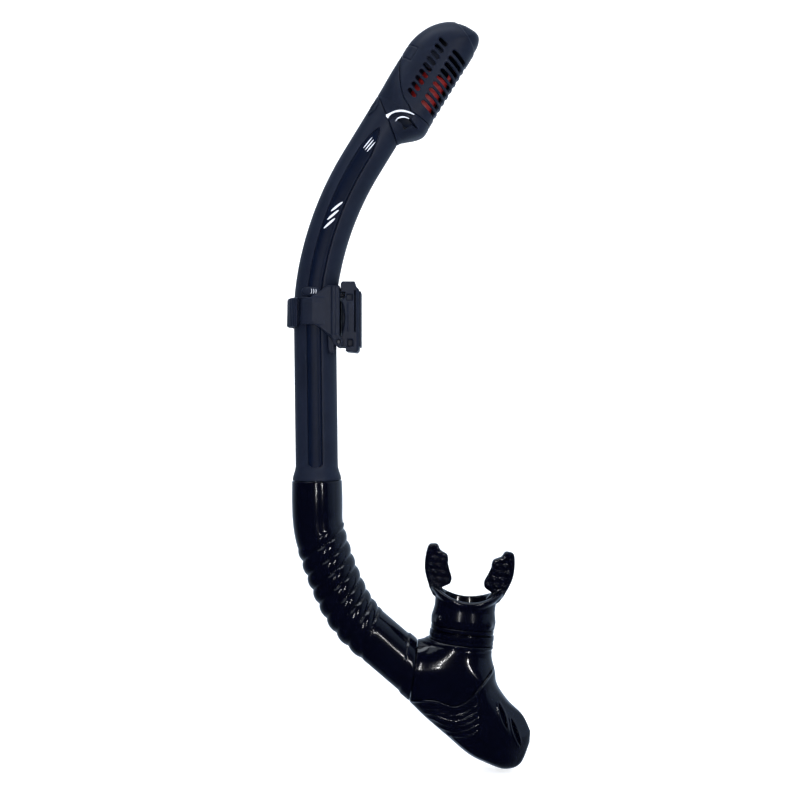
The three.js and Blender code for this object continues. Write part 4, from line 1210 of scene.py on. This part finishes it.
def lamp(name, at, towards, width, height, power, colour=(1, 1, 1)):
    """A rectangular softbox at a point, aimed at another."""
    light = bpy.data.lights.new(name, "AREA")
    light.shape = "RECTANGLE"
    light.size = width
    light.size_y = height
    light.energy = power
    light.color = colour
    thing = bpy.data.objects.new(name, light)
    aim = Vector(towards) - Vector(at)
    thing.matrix_world = Matrix.Translation(at) @ aim.to_track_quat("-Z", "Y").to_matrix().to_4x4()
    bpy.context.scene.collection.objects.link(thing)


backdrop()
MIDDLE = (0.03, 0, -0.05)
lamp("key_softbox", (-0.9, -0.9, 1.1), MIDDLE, 0.8, 0.8, 3.4, (0.8, 0.9, 1.0))
lamp("right_softbox", (1.1, -0.35, 0.3), MIDDLE, 0.9, 1.2, 1.0, (0.45, 0.65, 1.0))
lamp("top_softbox", (0.0, 0.2, 1.5), MIDDLE, 1.2, 1.2, 3)
lamp("top_strip", (-0.1, -0.4, 1.2), MIDDLE, 1.2, 0.35, 8, (0.85, 0.92, 1.0))
for k in range(4):
    height = -0.13 + 0.085 * k
    lamp(f"left_strip_{k}", (-0.02, -0.82, height), (0.03, 0, height), 0.008, 0.03, 0.3)
    lamp(f"right_strip_{k}", (0.36, -0.74, height + 0.04), (0.03, 0, height), 0.010, 0.03, 0.3)

world = bpy.data.worlds.new("studio")
bpy.context.scene.world = world
world.use_nodes = True
sky_nodes, sky_links = world.node_tree.nodes, world.node_tree.links
background = sky_nodes["Background"]
heading = sky_nodes.new("ShaderNodeTexCoord")
lean = sky_nodes.new("ShaderNodeVectorMath")
lean.operation = "DOT_PRODUCT"
lean.inputs[1].default_value = (0.35, 0.85, 0.3)
fade = sky_nodes.new("ShaderNodeMapRange")
fade.interpolation_type = "SMOOTHERSTEP"
preset(fade, From_Min=-0.5, From_Max=0.95, To_Min=0.01, To_Max=0.85)
sky_links.new(heading.outputs["Generated"], lean.inputs[0])
sky_links.new(lean.outputs["Value"], fade.inputs["Value"])
sky_links.new(fade.outputs["Result"], background.inputs["Strength"])
preset(background, Color=(0.6, 0.76, 1.0, 1))

bpy.context.scene.view_settings.view_transform = "Standard"
camera = bpy.data.cameras.new("camera")
camera.lens = 56.25
camera.sensor_width = 36
viewer = bpy.data.objects.new("camera", camera)
viewer.matrix_world = Matrix.Translation(CAMERA_AT) @ Matrix.Rotation(math.pi / 2, 4, "X")
bpy.context.scene.collection.objects.link(viewer)
bpy.context.scene.camera = viewer
